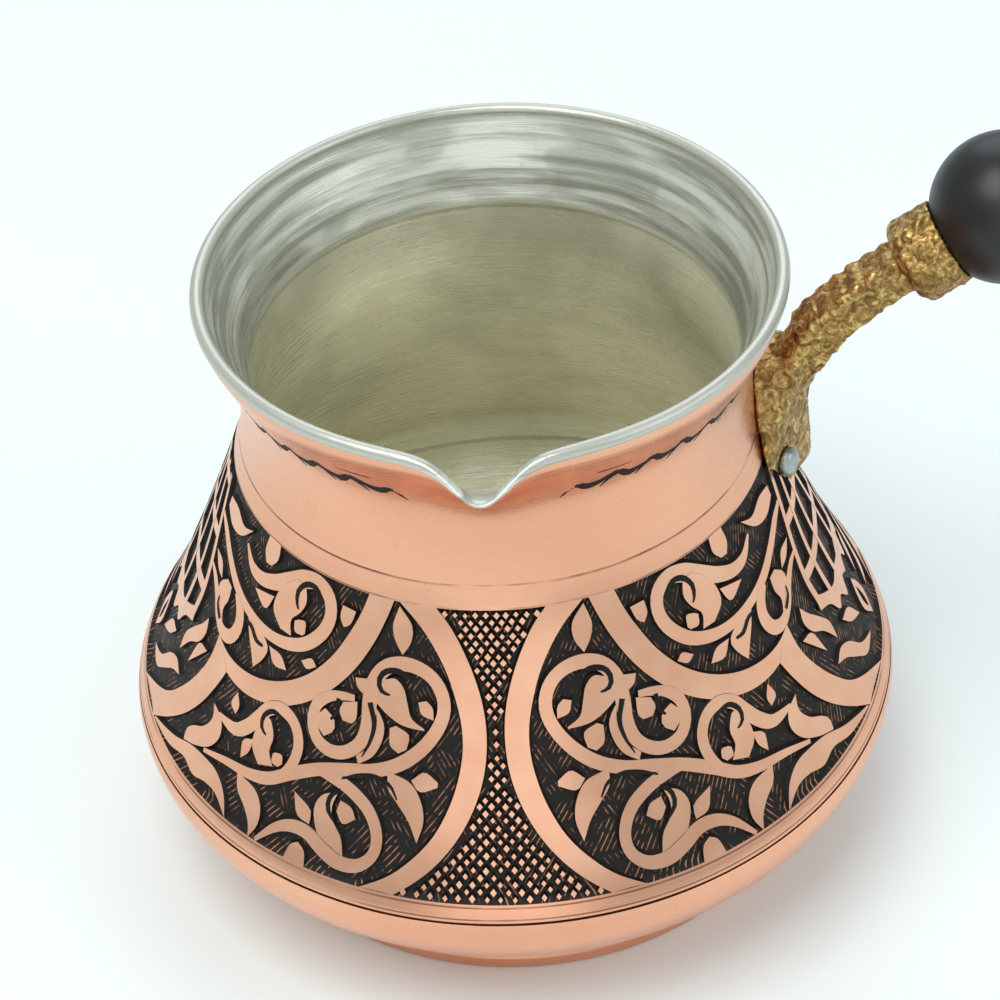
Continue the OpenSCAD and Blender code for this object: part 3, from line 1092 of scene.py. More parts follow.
STEMS: tuple[Vine, ...] = (
    # main stem: in from the right, round the large scroll, and over into the S below it
    Vine(((55.5, 29), (50, 30.2), (44, 31), (40, 32), (36, 34), (31, 36), (26, 37.2), (21, 38.1),
          (16.5, 39.6), (12.6, 42), (9.9, 44.8), (9.1, 47.3), (10.3, 49.6), (13, 51.1),
          (16.8, 51.6), (20.4, 50.8), (22.6, 48.8), (23.2, 46), (23.1, 43.4), (24, 41),
          (26.4, 39.3), (29.4, 38.7), (32.4, 39.4), (34, 41.3), (33.6, 43.5), (31.4, 45),
          (28.6, 45.7), (26.2, 45.9)),
         (0.5, 1.0, 1.5, 1.6, 1.5, 1.6, 1.7, 1.6, 1.6, 1.8, 2.0, 1.6, 1.6, 1.5, 0.8)),
    # lower scroll, from the main stem round and out to the lower border
    Vine(((32, 35.8), (28.5, 35.8), (24.6, 35), (21.2, 33.3), (19.4, 30.8), (19.6, 28.4),
          (21.8, 26.7), (25, 26.4), (28, 27.2), (31, 28.3), (34, 28.2), (36.8, 27), (39.6, 24.6)),
         (0.8, 1.5, 1.6, 1.6, 1.5, 1.4, 1.6, 1.8, 1.7, 1.5, 1.1, 0.5)),
    # small scroll on the right, with a tail that points at the cusp
    Vine(((39.6, 32.2), (37.2, 33.7), (35.9, 36), (36, 38.2), (37.8, 40), (40.8, 40.6),
          (43.7, 39.6), (45.6, 37.6), (47.6, 35.7), (50.2, 34.4), (54.8, 34.3)),
         (1.0, 1.4, 1.5, 1.5, 1.6, 1.7, 1.9, 1.8, 1.3, 0.5)),
    # upper scroll inside the scallop, both tails running on to the right
    Vine(((76.8, 53.2), (72, 52.5), (66.5, 50.9), (61, 49.3), (55, 48.3), (49, 47.9), (43.6, 48.3),
          (38.8, 49.6), (35.3, 51.9), (33.9, 54.3), (34.8, 56.5), (37.8, 57.6), (41.4, 57.2),
          (45.5, 55.8), (49.6, 54.3), (54, 53.3), (58, 53.5), (61.6, 55.2)),
         (0.6, 1.2, 1.3, 1.4, 1.3, 1.3, 1.4, 1.6, 1.7, 1.7, 1.9, 2.3, 2.1, 1.8, 1.5, 0.4)),
    # second scroll of the upper zone
    Vine(((60.5, 48.6), (57.8, 47.2), (57.1, 45.2), (58.6, 43.3), (61.6, 42.8), (64.8, 43.8),
          (67.6, 45.5), (70.8, 46.6), (74, 47)),
         (0.8, 1.8, 1.9, 1.7, 1.4, 1.3, 1.2, 0.9, 0.4)),
)

LEAVES: tuple[Strip, ...] = (
    # lens in the spandrel between the bands
    Strip(((17.5, 52.6), (15.9, 54.4), (16, 56.4), (18.8, 58.4)),
          ((17.5, 52.6), (19.2, 54.2), (19.9, 56), (18.8, 58.4))),
    # bud of the large scroll, its small leaves and the long leaf beside it
    Strip(((12.6, 44.2), (15, 45.2), (15.9, 46.8), (16.8, 48.6), (18.6, 49.6), (20.6, 49.2)),
          ((12.6, 44), (16.6, 44.2), (19.8, 45.2), (22.4, 46.6), (22.8, 47.8), (22, 49))),
    Strip(((11, 45.4), (11.2, 46.8), (12.4, 47.6)), ((11, 45.4), (13.2, 45.9), (13.9, 47.3))),
    Strip(((15.6, 41.4), (15.3, 43.2), (17.8, 44)), ((17, 40.8), (18.6, 41.6), (18.9, 43.6))),
    Strip(((22.9, 46.4), (20.3, 44.2), (20, 42.2), (21.4, 39.8), (24, 38.3)),
          ((22.9, 46.4), (21.6, 44.6), (21.5, 42.6), (22.6, 40.6), (24.6, 39.2))),
    Strip(((24.2, 48.7), (24.1, 47.4), (24.6, 46.9)), ((26.6, 48.4), (26, 47.4), (24.8, 46.8))),
    # the two buds inside the S
    Strip(((25.6, 45.6), (25.4, 43.6), (26.2, 42.8)), ((28.4, 45), (28.9, 43.8), (28, 42.8))),
    Strip(((31.8, 43.4), (29.8, 42.6), (29.4, 41.2), (31.2, 40.1)),
          ((31.8, 43.4), (33.1, 42.2), (32.8, 41), (31.2, 40.1))),
    # leaf and lens at the lower left
    Strip(((18.4, 38.4), (14.6, 37.6), (12.6, 35.6), (12, 33.2), (12.9, 30.7)),
          ((18.6, 38.2), (18.2, 36.4), (16.4, 34.8), (14.4, 33), (12.9, 30.7))),
    Strip(((14.4, 37.9), (12.2, 39.1), (9.9, 38.1)), ((14.4, 37.9), (12.8, 36.7), (9.9, 37.5))),
    # bud of the lower scroll and its leaves
    Strip(((24.4, 27.2), (25.2, 29.2), (27, 30.8), (27.5, 32.4), (26.9, 34)),
          ((28.4, 27.8), (29.8, 29.4), (30.6, 31.4), (29.6, 33.2), (27.1, 34.2))),
    Strip(((23.2, 31.8), (24.2, 33), (26.2, 33.4)), ((23.2, 31.8), (25.2, 30.8), (26.6, 32))),
    Strip(((30.9, 29.3), (31.2, 31), (34.7, 32.2)), ((30.9, 29.3), (33.4, 29.8), (34.7, 32.2))),
    Strip(((30.2, 24.4), (30.8, 26.1), (32.1, 26.8)), ((34, 24.4), (33.4, 26.1), (32.2, 26.8))),
    # bud of the small scroll and what lies round it
    Strip(((40, 33.5), (41.4, 35), (41.2, 36.8), (42.6, 38.5), (44, 38.6)),
          ((43, 32.7), (45.2, 34.2), (45.4, 36.2), (44.6, 37.6), (44.2, 38.5))),
    Strip(((38.2, 34.4), (38.6, 35.4), (40, 35.3)), ((39, 33.8), (40.4, 34), (40.5, 35))),
    Strip(((45.3, 35), (45.6, 33.2), (47, 31.9)), ((45.3, 35), (47.5, 34), (47, 31.9))),
    Strip(((51, 36), (50.6, 37.2), (51.9, 38.6)), ((51, 36), (52.8, 36.8), (51.9, 38.6))),
    # leaves along the lower border
    Strip(((46.6, 30.2), (42.4, 29.8), (40.3, 28.3), (39.9, 26.2), (40.9, 24.4)),
          ((46.6, 30), (45.6, 28.4), (43.4, 27.2), (41.8, 25.9), (40.9, 24.4))),
    Strip(((56.8, 34.8), (53.8, 33.9), (52.9, 32), (54.4, 30), (57.6, 28.5), (61, 27.5)),
          ((56.8, 34.8), (56.1, 33), (57.6, 31.2), (60.2, 29.9), (61.4, 28.8), (61.2, 27.6))),
    Strip(((46.2, 24.5), (48.2, 26.9), (51.2, 28.3), (55, 28.4), (59, 27.9), (64, 26.4),
           (71, 24.8)),
          ((46.2, 24.5), (49.6, 26), (52.6, 26.1), (55.8, 25.5), (59.4, 26), (64, 25.1),
           (71, 24.6))),
    # bud of the upper scroll and its leaves
    Strip(((42.4, 49.6), (43.2, 51.4), (41.2, 53), (40.2, 54.6), (41, 56.4)),
          ((45.4, 49.6), (48.4, 51.2), (48.2, 53.4), (46.4, 55.2), (43.6, 56.6))),
    Strip(((39.2, 50.8), (39.6, 52.2), (41.4, 52)), ((39.8, 50.4), (41.8, 50.4), (42.3, 51.6))),
    Strip(((49, 52.6), (51.6, 52.2), (55.2, 51.6)), ((49, 52.6), (50.8, 50.4), (55.2, 51.6))),
    Strip(((28.2, 56.2), (29, 54.6), (30.2, 53.9)), ((31.4, 56.4), (31.6, 54.9), (30.6, 53.9))),
    Strip(((50.4, 58.9), (50.3, 57), (52, 55.7)), ((54.6, 58.9), (55, 57), (53.8, 55.6))),
    Strip(((35.2, 47.7), (36.6, 48.4), (38.8, 47.5)), ((35.2, 47.7), (37.2, 46.9), (38.8, 47.5))),
    Strip(((41.8, 45.3), (43.8, 46.6), (47.2, 46.7)), ((41.8, 45.3), (45, 45), (47.2, 46.7))),
    Strip(((50, 42.8), (48.2, 44.4), (47.4, 46.2), (49.8, 47.4), (53, 48.1)),
          ((50, 42.8), (51.6, 44.4), (53.4, 46), (54.6, 47.4), (55.4, 48.2))),
    # bud of the second scroll, and the leaves towards the pendant
    Strip(((62.2, 43.4), (63.5, 45), (62.6, 46.6), (62.8, 48.4)),
          ((65.2, 44), (67.2, 45.6), (67.4, 47.2), (65, 48.6))),
    Strip(((67.4, 47.6), (69.4, 49.2), (73.6, 49.2)), ((67.4, 47.6), (70.4, 47.9), (73.6, 49.2))),
    Strip(((60.8, 57.2), (65, 56.3), (70, 56.9), (75, 56.4)),
          ((60.8, 57.2), (65, 54.9), (70, 54.2), (75, 55))),
    # leaves between the frame and the comb
    Strip(((67.2, 41.8), (66.4, 40), (67.8, 38), (71, 36.2), (73.6, 33.6)),
          ((67.2, 41.8), (68.8, 40.2), (71.2, 38.4), (73.8, 36), (73.6, 33.6))),
    Strip(((64, 38.6), (66.4, 36.6), (69, 34.4)), ((64, 38.6), (67.4, 38), (69, 34.4))),
    Strip(((70, 31.7), (73, 32.4), (76.4, 31.2), (79.6, 28.8), (84.6, 27.2)),
          ((70, 31.7), (73, 30.8), (76, 29), (79.4, 27.2), (84.6, 27.2))),
    Strip(((78, 33.6), (80.6, 31.6), (85, 30)), ((78, 33.6), (82, 33), (85, 30))),
)

# The comb in the middle of the pendant: three posts, three rungs and a scalloped foot.
COMB: tuple[Strip, ...] = (
    Strip(((79, 57.4), (76.2, 52), (73.6, 47), (72.6, 43), (73.2, 39)),
          ((80.6, 57.4), (77.8, 52), (75.2, 47), (74.2, 43), (74.8, 39))),
    Strip(((84, 57.4), (81.6, 52), (79.4, 47), (78.6, 42), (79, 37)),
          ((85.4, 57.4), (83, 52), (80.8, 47), (80, 42), (80.4, 37))),
    Strip(((88.6, 57.4), (87, 52), (85.4, 46), (85, 40), (85.2, 35)),
          ((90, 57.4), (88.4, 52), (86.8, 46), (86.4, 40), (86.6, 35))),
    Strip(((90, 56.9), (84, 56.9), (79.2, 57.1)), ((90, 55.7), (84, 55.7), (78.8, 55.9))),
    Strip(((90, 50.6), (82, 50.4), (75.6, 50.8)), ((90, 49.3), (82, 49.1), (75.1, 49.5))),
    Strip(((90, 43.7), (80, 43.4), (73, 43.8)), ((90, 42.3), (80, 42), (73, 42.4))),
    Strip(((90, 36.6), (86, 37.2), (82, 37), (78, 38.2), (73.4, 40.2)),
          ((90, 33.8), (87.2, 34.8), (85, 33.2), (82.2, 35), (79.6, 34.4), (77, 36.8),
           (73, 38.2))),
    Strip(((90, 32.4), (88.2, 30.6), (87.6, 28.6), (90, 26.4)),
          ((90, 31), (89.4, 30), (89.2, 28.6), (90, 27.4))),
)

# Cuts laid over the copper: the hooks inside the buds and the splits in the leaves.
CUTS: tuple[Vine, ...] = (
    Vine(((15.4, 50), (18.2, 50.6), (20.8, 50.1), (21.8, 48.8), (21, 47.7), (19.4, 47.5)),
         (0.3, 0.6, 0.7, 0.7, 0.6, 0.2)),
    Vine(((23.1, 46), (21.9, 43.6), (22.3, 41.4), (23.5, 39.3)), (0.7, 0.6, 0.45, 0.15)),
    Vine(((29.4, 45.2), (29.4, 43.4), (30.4, 42.4)), (0.6, 0.6, 0.3)),
    Vine(((26.4, 34.6), (28, 33.6), (28.2, 32), (26.8, 30.8)), (0.5, 0.6, 0.6, 0.3)),
    Vine(((40.2, 39.6), (42.6, 39.7), (44.4, 38.4), (44.2, 37), (42.9, 36.5)),
         (0.4, 0.6, 0.7, 0.6, 0.2)),
    Vine(((36.4, 55.8), (38.6, 56.9), (41.2, 56.6), (42.9, 55.2), (42.6, 53.8), (41.9, 53.2)),
         (0.5, 0.6, 0.7, 0.7, 0.6, 0.2)),
    Vine(((49, 46), (51, 46), (53.2, 47), (55.4, 47.2)), (0.3, 0.5, 0.5, 0.3)),
    Vine(((63.6, 43.6), (65.8, 44.6), (66.2, 45.6)), (0.5, 0.5, 0.2)),
    Vine(((16.6, 35.3), (18, 36.8), (20.6, 37.4), (23.6, 37), (26.6, 36)),
         (0.2, 0.5, 0.6, 0.5, 0.2)),
)

# The wavy line of tildes under the flare, in degrees from the spout and heights above the base.
TILDES: tuple[Vine, ...] = (
    Vine(((3, 72.2), (5.5, 72.8), (8, 74.2), (11, 74.9)), (0.2, 0.8, 0.7, 0.2)),
    Vine(((8.5, 73.3), (12, 74.9), (14.5, 75.6), (18, 76.5)), (0.2, 1.1, 0.8, 0.2)),
    Vine(((15.5, 74.4), (18.5, 76.2), (21, 75.5), (24, 75.8), (27.5, 77.3)), (0.1, 0.8, 1.2, 0.8, 0.1)),
    Vine(((24, 74.6), (27.5, 76.6), (30.5, 75.5), (34.5, 76.4)), (0.1, 0.9, 1.2, 0.2)),
    Vine(((32, 74.6), (35.5, 76.7), (38.5, 75.6), (42.5, 76.2)), (0.1, 0.9, 1.1, 0.1)),
    Vine(((40, 74.5), (43.5, 76.6), (46.5, 75.4), (50.5, 76.1)), (0.1, 0.8, 1.0, 0.1)),
    Vine(((48, 74.4), (51.5, 76.4), (54.5, 75.3), (58.5, 76)), (0.1, 0.7, 0.9, 0.1)),
    Vine(((56, 74.4), (59.5, 76.2), (62, 75.3), (65, 75.8)), (0.1, 0.5, 0.7, 0.1)),
    Vine(((4, 74), (9, 75.8), (15, 77.2), (22, 78), (30, 78)), (0.1, 0.3, 0.35, 0.3, 0.1)),
)


@dataclass
class Engraving:
    """The copper left standing in the band, the lattice and the cuts laid over the copper."""

    shape: PotShape
    turn: float = -97.3  # azimuth of the hourglass under the spout, in degrees
    flare: float = 0.26  # how far a cut's wall leans out at its foot, in millimetres
    # bars that cross stand at slightly different heights, in millimetres, so no faces share a plane
    proud: float = 0.004
    levels: int = 6
    level_step: float = 0.008
    root: float = 0.06  # how far a bar's foot goes into the ground
    cut_over: float = 0.012  # how far a cut's face stands over the highest bar
    cut_root: float = 0.1
    cut_lean: float = 0.02
    tilde_top: float = 0.02
    seed: int = 11
    dot: Point = (0.50, 0.57)  # half width and half height of a lattice dot, in millimetres
    dot_pitch: Point = (2.05, 1.62)  # degrees and millimetres between dots of one row or column
    dot_root: float = 0.05
    dot_taper: float = 0.72  # width of a dot's top as a share of its foot's
    dot_sway: Point = (0.12, 0.08)  # how far out of place a dot may be, in degrees and millimetres
    dot_grow: Point = (0.8, 1.15)  # smallest and largest dot, as a multiple of the even one
    dot_edge: float = 0.9  # degrees kept free beside the C-shaped bands
    dot_ends: Point = (0.5, 0.3)  # millimetres kept free at the band's foot and top

    def place(self, u: float, z: float, lift: float, side: int, half: int) -> Vector:
        """Where a point of the flat pattern lies on the pot.

        Args:
            u: Degrees from the middle of the hourglass.
            z: Height in millimetres.
            lift: Height over the copper's surface, in millimetres.
            side: 1 for the half to the right of the hourglass, -1 for its mirror.
            half: 0 for the panel under the spout, 1 for the one opposite.

        Returns:
            The point in metres.
        """
        heading = math.radians(self.turn + side * u + 180 * half)
        r = self.shape.radius(z) + lift
        return Vector((r * math.cos(heading), r * math.sin(heading), z)) * MM

    def bar(
        self,
        bm: bmesh.types.BMesh,
        edges: tuple[list[Vector], list[Vector]],
        levels: tuple[float, float],
        side: int,
        half: int,
        lean: float,
    ) -> None:
        """Add one closed bar between two edges, wrapped on to the pot.

        Args:
            bm: The mesh to add to.
            edges: The left and right edge in the flat pattern.
            levels: Lift of the bar's foot and of its top over the surface, in millimetres.
            side: As for place.
            half: As for place.
            lean: How far the walls lean out at their foot, in millimetres.
        """
        left, right = edges
        rows = len(left)
        grid = bmesh.ops.create_grid(bm, x_segments=rows + 1, y_segments=4, size=1)["verts"]
        grid.sort(key=lambda v: (round(v.co.x, 5), round(v.co.y, 5)))
        foot, top = levels
        for i in range(rows + 2):
            k = min(max(i - 1, 0), rows - 1)
            a, b = left[k], right[k]
            per_degree = math.radians(self.shape.radius(a.y))
            across = Vector(((b.x - a.x) * per_degree, b.y - a.y))
            wide = across.length
            out = across.normalized() * lean if wide > 1e-6 else Vector((0, 0))
            out.x /= per_degree
            ring = ((a - out, foot), (a, top), (b, top), (b + out, foot), (a - out, foot))
            if i in (0, rows + 1):
                ring = (((a + b) / 2, foot),) * 5
            for vert, (point, lift) in zip(grid[5 * i : 5 * i + 5], ring):
                vert.co = self.place(point.x, point.y, lift, side, half)
        crest = {v for i in range(1, rows + 1) for v in grid[5 * i + 1 : 5 * i + 3]}
        for face in {f for v in grid for f in v.link_faces}:
            face.material_index = 0 if crest.issuperset(face.verts) else 1
        bmesh.ops.remove_doubles(bm, verts=grid, dist=1e-7)

    def dots(self, bm: bmesh.types.BMesh, half: int) -> None:
        """Fill the hourglass with lattice dots, each a low square frustum set on its corner.

        Args:
            bm: The mesh to add to.
            half: As for place.
        """
        draw = random.Random(self.seed + half)
        edge = BANDS[0].edges(self.shape)[0]
        (wide, high), (pitch, rise) = self.dot, self.dot_pitch
        row, z = 0, self.shape.band_low + self.dot_ends[0]
        while z < self.shape.band_high - self.dot_ends[1]:
            per_degree = math.radians(self.shape.radius(z))
            reach = min(edge, key=lambda p: abs(p.y - z)).x - self.dot_edge
            start = pitch / 2 if row % 2 else 0.0
            count = int((reach - start) / pitch) + 1
            for n in range(-count, count + 1):
                u = n * pitch + start
                if abs(u) > reach:
                    continue
                u += draw.uniform(-self.dot_sway[0], self.dot_sway[0])
                tall = z + draw.uniform(-self.dot_sway[1], self.dot_sway[1])
                grow = draw.uniform(*self.dot_grow)
                made = bmesh.ops.create_cone(bm, cap_ends=True, segments=4, radius1=1.0,
                                             radius2=self.dot_taper, depth=1.0)["verts"]
                tops = {v for v in made if v.co.z > 0}
                for vert in made:
                    lift = 0.0 if vert in tops else -self.shape.band_depth - self.dot_root
                    vert.co = self.place(u + vert.co.x * wide * grow / per_degree,
                                         tall + vert.co.y * high * grow, lift, 1, half)
                for face in {f for v in made for f in v.link_faces}:
                    face.material_index = 0 if tops.issuperset(face.verts) else 1
            row += 1
            z += rise / 2

    def raised(self) -> bpy.types.Object:
        """All the copper that stands in the band.

        Returns:
            One piece, of closed bars and dots.
        """
        bm = bmesh.new()
        foot = -self.shape.band_depth - self.root
        for half in (0, 1):
            for side in (1, -1):
                for n, item in enumerate((*BANDS, *STEMS, *LEAVES, *COMB)):
                    top = self.proud + self.level_step * (n % self.levels)
                    self.bar(bm, item.edges(self.shape), (foot, top), side, half, self.flare)
            self.dots(bm, half)
        bmesh.ops.recalc_face_normals(bm, faces=bm.faces)
        return finish_mesh(bm, "engraved_relief", [RaisedCopper(), BlackenedCut()])

    def cut_lines(self) -> bpy.types.Object:
        """Dark cuts over the raised copper, and the tildes under the flare.

        Returns:
            One piece, of closed bars.
        """
        bm = bmesh.new()
        top = self.proud + self.level_step * self.levels + self.cut_over
        cuts = [(item, top, half) for half in (0, 1) for item in CUTS]
        cuts += [(item, self.tilde_top, 0) for item in TILDES]
        for item, lift, half in cuts:
            for side in (1, -1):
                self.bar(bm, item.edges(self.shape), (-self.cut_root, lift), side, half,
                         self.cut_lean)
        for face in bm.faces:
            face.material_index = 0
        bmesh.ops.recalc_face_normals(bm, faces=bm.faces)
        return finish_mesh(bm, "graver_cuts", [BlackenedCut()])


# ---------------------------------------------------------------------------------------------
# Handle
# ---------------------------------------------------------------------------------------------


@dataclass
class Handle:
    """Places and sizes of the bracket, the rivets and the grip, as in the CAD model."""

    shape: PotShape
    nose_out: float = 7.3
    nose_w: float = 4.4
    ear_angle: float = 20.0
    ear_t: float = 2.4
    foot_top: float = 17.0
    foot_h: float = 16.5
    lean: float = 4.0
    rise: float = 31.0
    collar_out: float = 24.7
    collar_drop: float = 2.8
    collar_d: float = 11.0
    rivet_drop: float = 28.5
    rivet_part: float = 0.6
    ball_r: float = 9.4
    grip_len: float = 99.0
    waist_d: float = 11.4
    swell_d: float = 18.0
    head_d: float = 7.0

    def axis(self) -> Matrix:
        """From a frame with +Z along the grip and the collar's mouth at 0, to the pot's frame."""
        mouth = Vector((self.shape.neck_r + self.collar_out, 0, self.shape.height - self.collar_drop))
        return Matrix.Translation(mouth * MM) @ Matrix.Rotation(math.radians(90 - self.rise), 4, "Y")

    def flank(self, side: int) -> Matrix:
        """From a frame with +Z out of one flank of the foot, to the pot's frame.

        Args:
            side: 1 for the rear flank, at +Y, and -1 for the front one.

        Returns:
            The matrix, in metres, with its origin at the rivet's seat.
        """
        nose_x = self.shape.neck_r + self.nose_out
        ear_r, ear_turn = self.shape.neck_r + self.ear_t, math.radians(self.ear_angle)
        ear = Vector((ear_r * math.cos(ear_turn), ear_r * math.sin(ear_turn)))
        run = Vector((nose_x - ear.x, ear.y - self.nose_w / 2))
        turn = math.atan2(run.x, run.y)
        middle = self.shape.height - self.foot_top - self.foot_h / 2
        hinge = Vector((nose_x, 0, middle)) * MM
        tilt = (Matrix.Translation(hinge) @ Matrix.Rotation(math.radians(-self.lean), 4, "Y")
                @ Matrix.Translation(-hinge))
        part = self.rivet_part
        seat = Vector((nose_x - part * run.x, side * (self.nose_w / 2 + part * run.y),
                       self.shape.height - self.rivet_drop))
        return (tilt @ Matrix.Translation(seat * MM)
                @ Matrix.Rotation(side * turn, 4, "Z")
                @ Matrix.Rotation(math.pi / 2, 4, "Y"))


@dataclass
class Bracket:
    """The brass casting: the CAD shape with its corners melted together and a sand-cast skin."""

    handle: Handle
    voxel: float = 0.27
    relief: float = 0.2  # depth of the cast skin
    grain: float = 1.1  # pits to the millimetre
    swell: float = 0.05  # the skin's mean height over the CAD shape
    middle: float = 0.15  # the noise's own mean
    soften: int = 4  # rounds of smoothing everywhere
    melt: int = 70  # more rounds where the foot meets the stem
    foot_gap: float = 0.9  # the foot's face against the neck isn't smoothed
    foot_deep: float = 8.6  # how far out from the neck the foot reaches
    foot_over: float = 3.5  # how far over the foot's top the smoothing goes on
    filed_past: float = 0.8  # the filed part reaches this far past the nose
    filed_side: float = 0.35  # least sideways part of a filed face's normal
    filed_drop: float = 14.0  # top of the filed part, down from the rim
    filed_share: float = 0.35  # how much of the cast skin filing leaves

    def smooth(self, bm: bmesh.types.BMesh, verts: list[bmesh.types.BMVert], rounds: int) -> None:
        """Smooth some vertices.

        Args:
            bm: The mesh that they belong to.
            verts: The vertices.
            rounds: How many times over.
        """
        for _ in range(rounds):
            bmesh.ops.smooth_vert(bm, verts=verts, factor=0.5, use_axis_x=True,
                                  use_axis_y=True, use_axis_z=True)

    def build(self) -> bpy.types.Object:
        """Remesh a merged copy of the CAD node, soften it and roughen it as cast.

        Returns:
            The casting.
        """
        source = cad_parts["handle_bracket"]
        bm = bmesh.new()
        bm.from_mesh(source.data)
        bmesh.ops.remove_doubles(bm, verts=bm.verts, dist=1e-6)
        mesh = bpy.data.meshes.new("bracket_copy")
        bm.to_mesh(mesh)
        bm.free()
        copy = bpy.data.objects.new("bracket_copy", mesh)
        bpy.context.scene.collection.objects.link(copy)
        remesh = copy.modifiers.new("melt", "REMESH")
        remesh.mode, remesh.voxel_size = "VOXEL", self.voxel * MM
        melted = bpy.data.meshes.new_from_object(
            copy.evaluated_get(bpy.context.evaluated_depsgraph_get()))
        bpy.data.objects.remove(copy)
        bm = bmesh.new()
        bm.from_mesh(melted)
        self.smooth(bm, list(bm.verts), self.soften)
        self.smooth(bm, [v for v in bm.verts if self.in_foot(v.co / MM)], self.melt)
        bm.normal_update()
        for vert in bm.verts:
            vert.co += vert.normal * self.skin(vert)
        return finish_mesh(bm, "brass_bracket", [CastBrass()], ("handle_bracket",), 70.0)

    def in_foot(self, place: Vector) -> bool:
        """Whether a point, in millimetres, belongs to the foot's outer faces."""
        neck, top = self.handle.shape.neck_r, self.handle.shape.height - self.handle.foot_top
        return (place.xy.length > neck + self.foot_gap and place.x < neck + self.foot_deep
                and place.z < top + self.foot_over)

    def skin(self, vert: bmesh.types.BMVert) -> float:
        """How far the casting's skin stands out at a vertex.

        The foot's flanks are filed smoother; the stem and the collar are left as cast.

        Args:
            vert: A vertex of the casting.

        Returns:
            The distance along its normal, in metres.
        """
        place, shape = vert.co / MM, self.handle.shape
        nose = shape.neck_r + self.handle.nose_out
        filed = (place.x < nose + self.filed_past and abs(vert.normal.y) > self.filed_side
                 and place.z < shape.height - self.filed_drop)
        depth = self.relief * (self.filed_share if filed else 1.0)
        pits = noise.fractal(place * self.grain, 0.9, 2.1, 4)
        return (self.swell + depth * (pits - self.middle)) * MM


@dataclass
class Rivets:
    """Two aluminium rivets, each a set head outside, a shank and a flat tail inside."""

    handle: Handle
    head_r: float = 1.9
    head_h: float = 1.3
    shank_r: float = 1.1
    reach: float = 3.24  # from the flank to the tail
    tail_h: float = 0.9

    def build(self) -> list[bpy.types.Object]:
        """Spin both rivets and set them in their flanks.

        Returns:
            The front and the rear rivet.
        """
        head, high, reach, tail = self.head_r, self.head_h, self.reach, self.tail_h
        profile = [(0, high - 0.10), (0.35 * head, high), (0.62 * head, high - 0.03),
                   (0.82 * head, 0.80 * high), (0.95 * head, 0.52 * high), (head, 0.22 * high),
                   (0.98 * head, 0.0), (self.shank_r, -0.02), (self.shank_r, -reach),
                   (0.95 * head, -reach), (0.9 * head, -reach - 0.6 * tail),
                   (0.5 * head, -reach - tail), (0, -reach - tail)]
        made = []
        for side, name in ((-1, "rivet_front"), (1, "rivet_rear")):
            bm = spin_profile(profile, 40)
            bmesh.ops.bevel(bm, geom=[e for e in bm.edges if e.calc_face_angle(0) > 0.6],
                            affect="EDGES", offset=0.08 * MM, segments=2, profile=0.5, material=-1)
            bmesh.ops.transform(bm, matrix=self.handle.flank(side), verts=bm.verts)
            made.append(finish_mesh(bm, f"set_{name}", [DullMetal()], (name,), 60.0))
        return made


@dataclass
class Grip:
    """The turned grip: ball, cove, waist, swell and a recessed end."""

    handle: Handle
    recess: float = 3.3  # depth of the recess for the screw's head
    bore_r: float = 2.15
    seat_in: float = 0.3  # the ball rests on the collar this far inside its edge
    end_rim: float = 1.6  # flat ring round the recess
    cove: float = 0.5  # step from the ball to the waist
    steps: int = 96

    def build(self) -> bpy.types.Object:
        """Spin the grip as one closed shape with its bore.

        Returns:
            The grip.
        """
        h = self.handle
        ball, length, waist = h.ball_r, h.grip_len, h.waist_d / 2
        centre = math.sqrt(ball**2 - (h.collar_d / 2 - self.seat_in) ** 2)
        end = h.head_d / 2 + self.end_rim
        start = math.degrees(math.asin(self.bore_r / ball)) - 90
        stop = 90 - math.degrees(math.asin((waist + self.cove) / ball))
        round_part = arc((0.0, centre), ball, start, stop, 32)
        profile = [(self.bore_r, length - self.recess), (self.bore_r, centre - ball + 0.6),
                   *round_part]
        z = round_part[-1][1]
        profile += [(waist + 0.1, z + 0.25), (waist + 0.05, z + 0.6), (waist + 0.45, z + 0.95)]
        swell = h.swell_d / 2
        middle = (waist + swell) / 2
        profile += bezier(((waist + 0.45, z + 0.95), (waist - 0.5, 0.26 * length),
                           (waist, 0.36 * length), (middle, 0.52 * length)), 22)
        profile += bezier(((middle, 0.52 * length), (swell, 0.66 * length),
                           (swell + 0.4, 0.82 * length), (swell - 0.6, 0.93 * length)), 18)
        profile += bezier(((swell - 0.6, 0.93 * length), (swell - 1.2, 0.97 * length),
                           (end + 1.4, length), (end, length)), 12)
        mouth = h.head_d / 2 + 0.15
        profile += [(mouth + 0.3, length), (mouth, length - 0.3), (mouth, length - self.recess),
                    (self.bore_r, length - self.recess)]
        bm = spin_profile(profile, self.steps)
        bmesh.ops.transform(bm, matrix=h.axis(), verts=bm.verts)
        return finish_mesh(bm, "turned_grip", [LacqueredWood()], ("grip",), 40.0)


def dress_fastener(node: str) -> None:
    """Give a CAD node that stays in view its zinc-plated finish.

    Args:
        node: The node's name.
    """
    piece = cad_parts[node]
    zinc = DullMetal("zinc_plated_steel", "#C9C9C6", "#8E8E8B", 0.34).build()
    piece.data.materials.clear()
    piece.data.materials.append(zinc)


# ---------------------------------------------------------------------------------------------
# Studio
# ---------------------------------------------------------------------------------------------


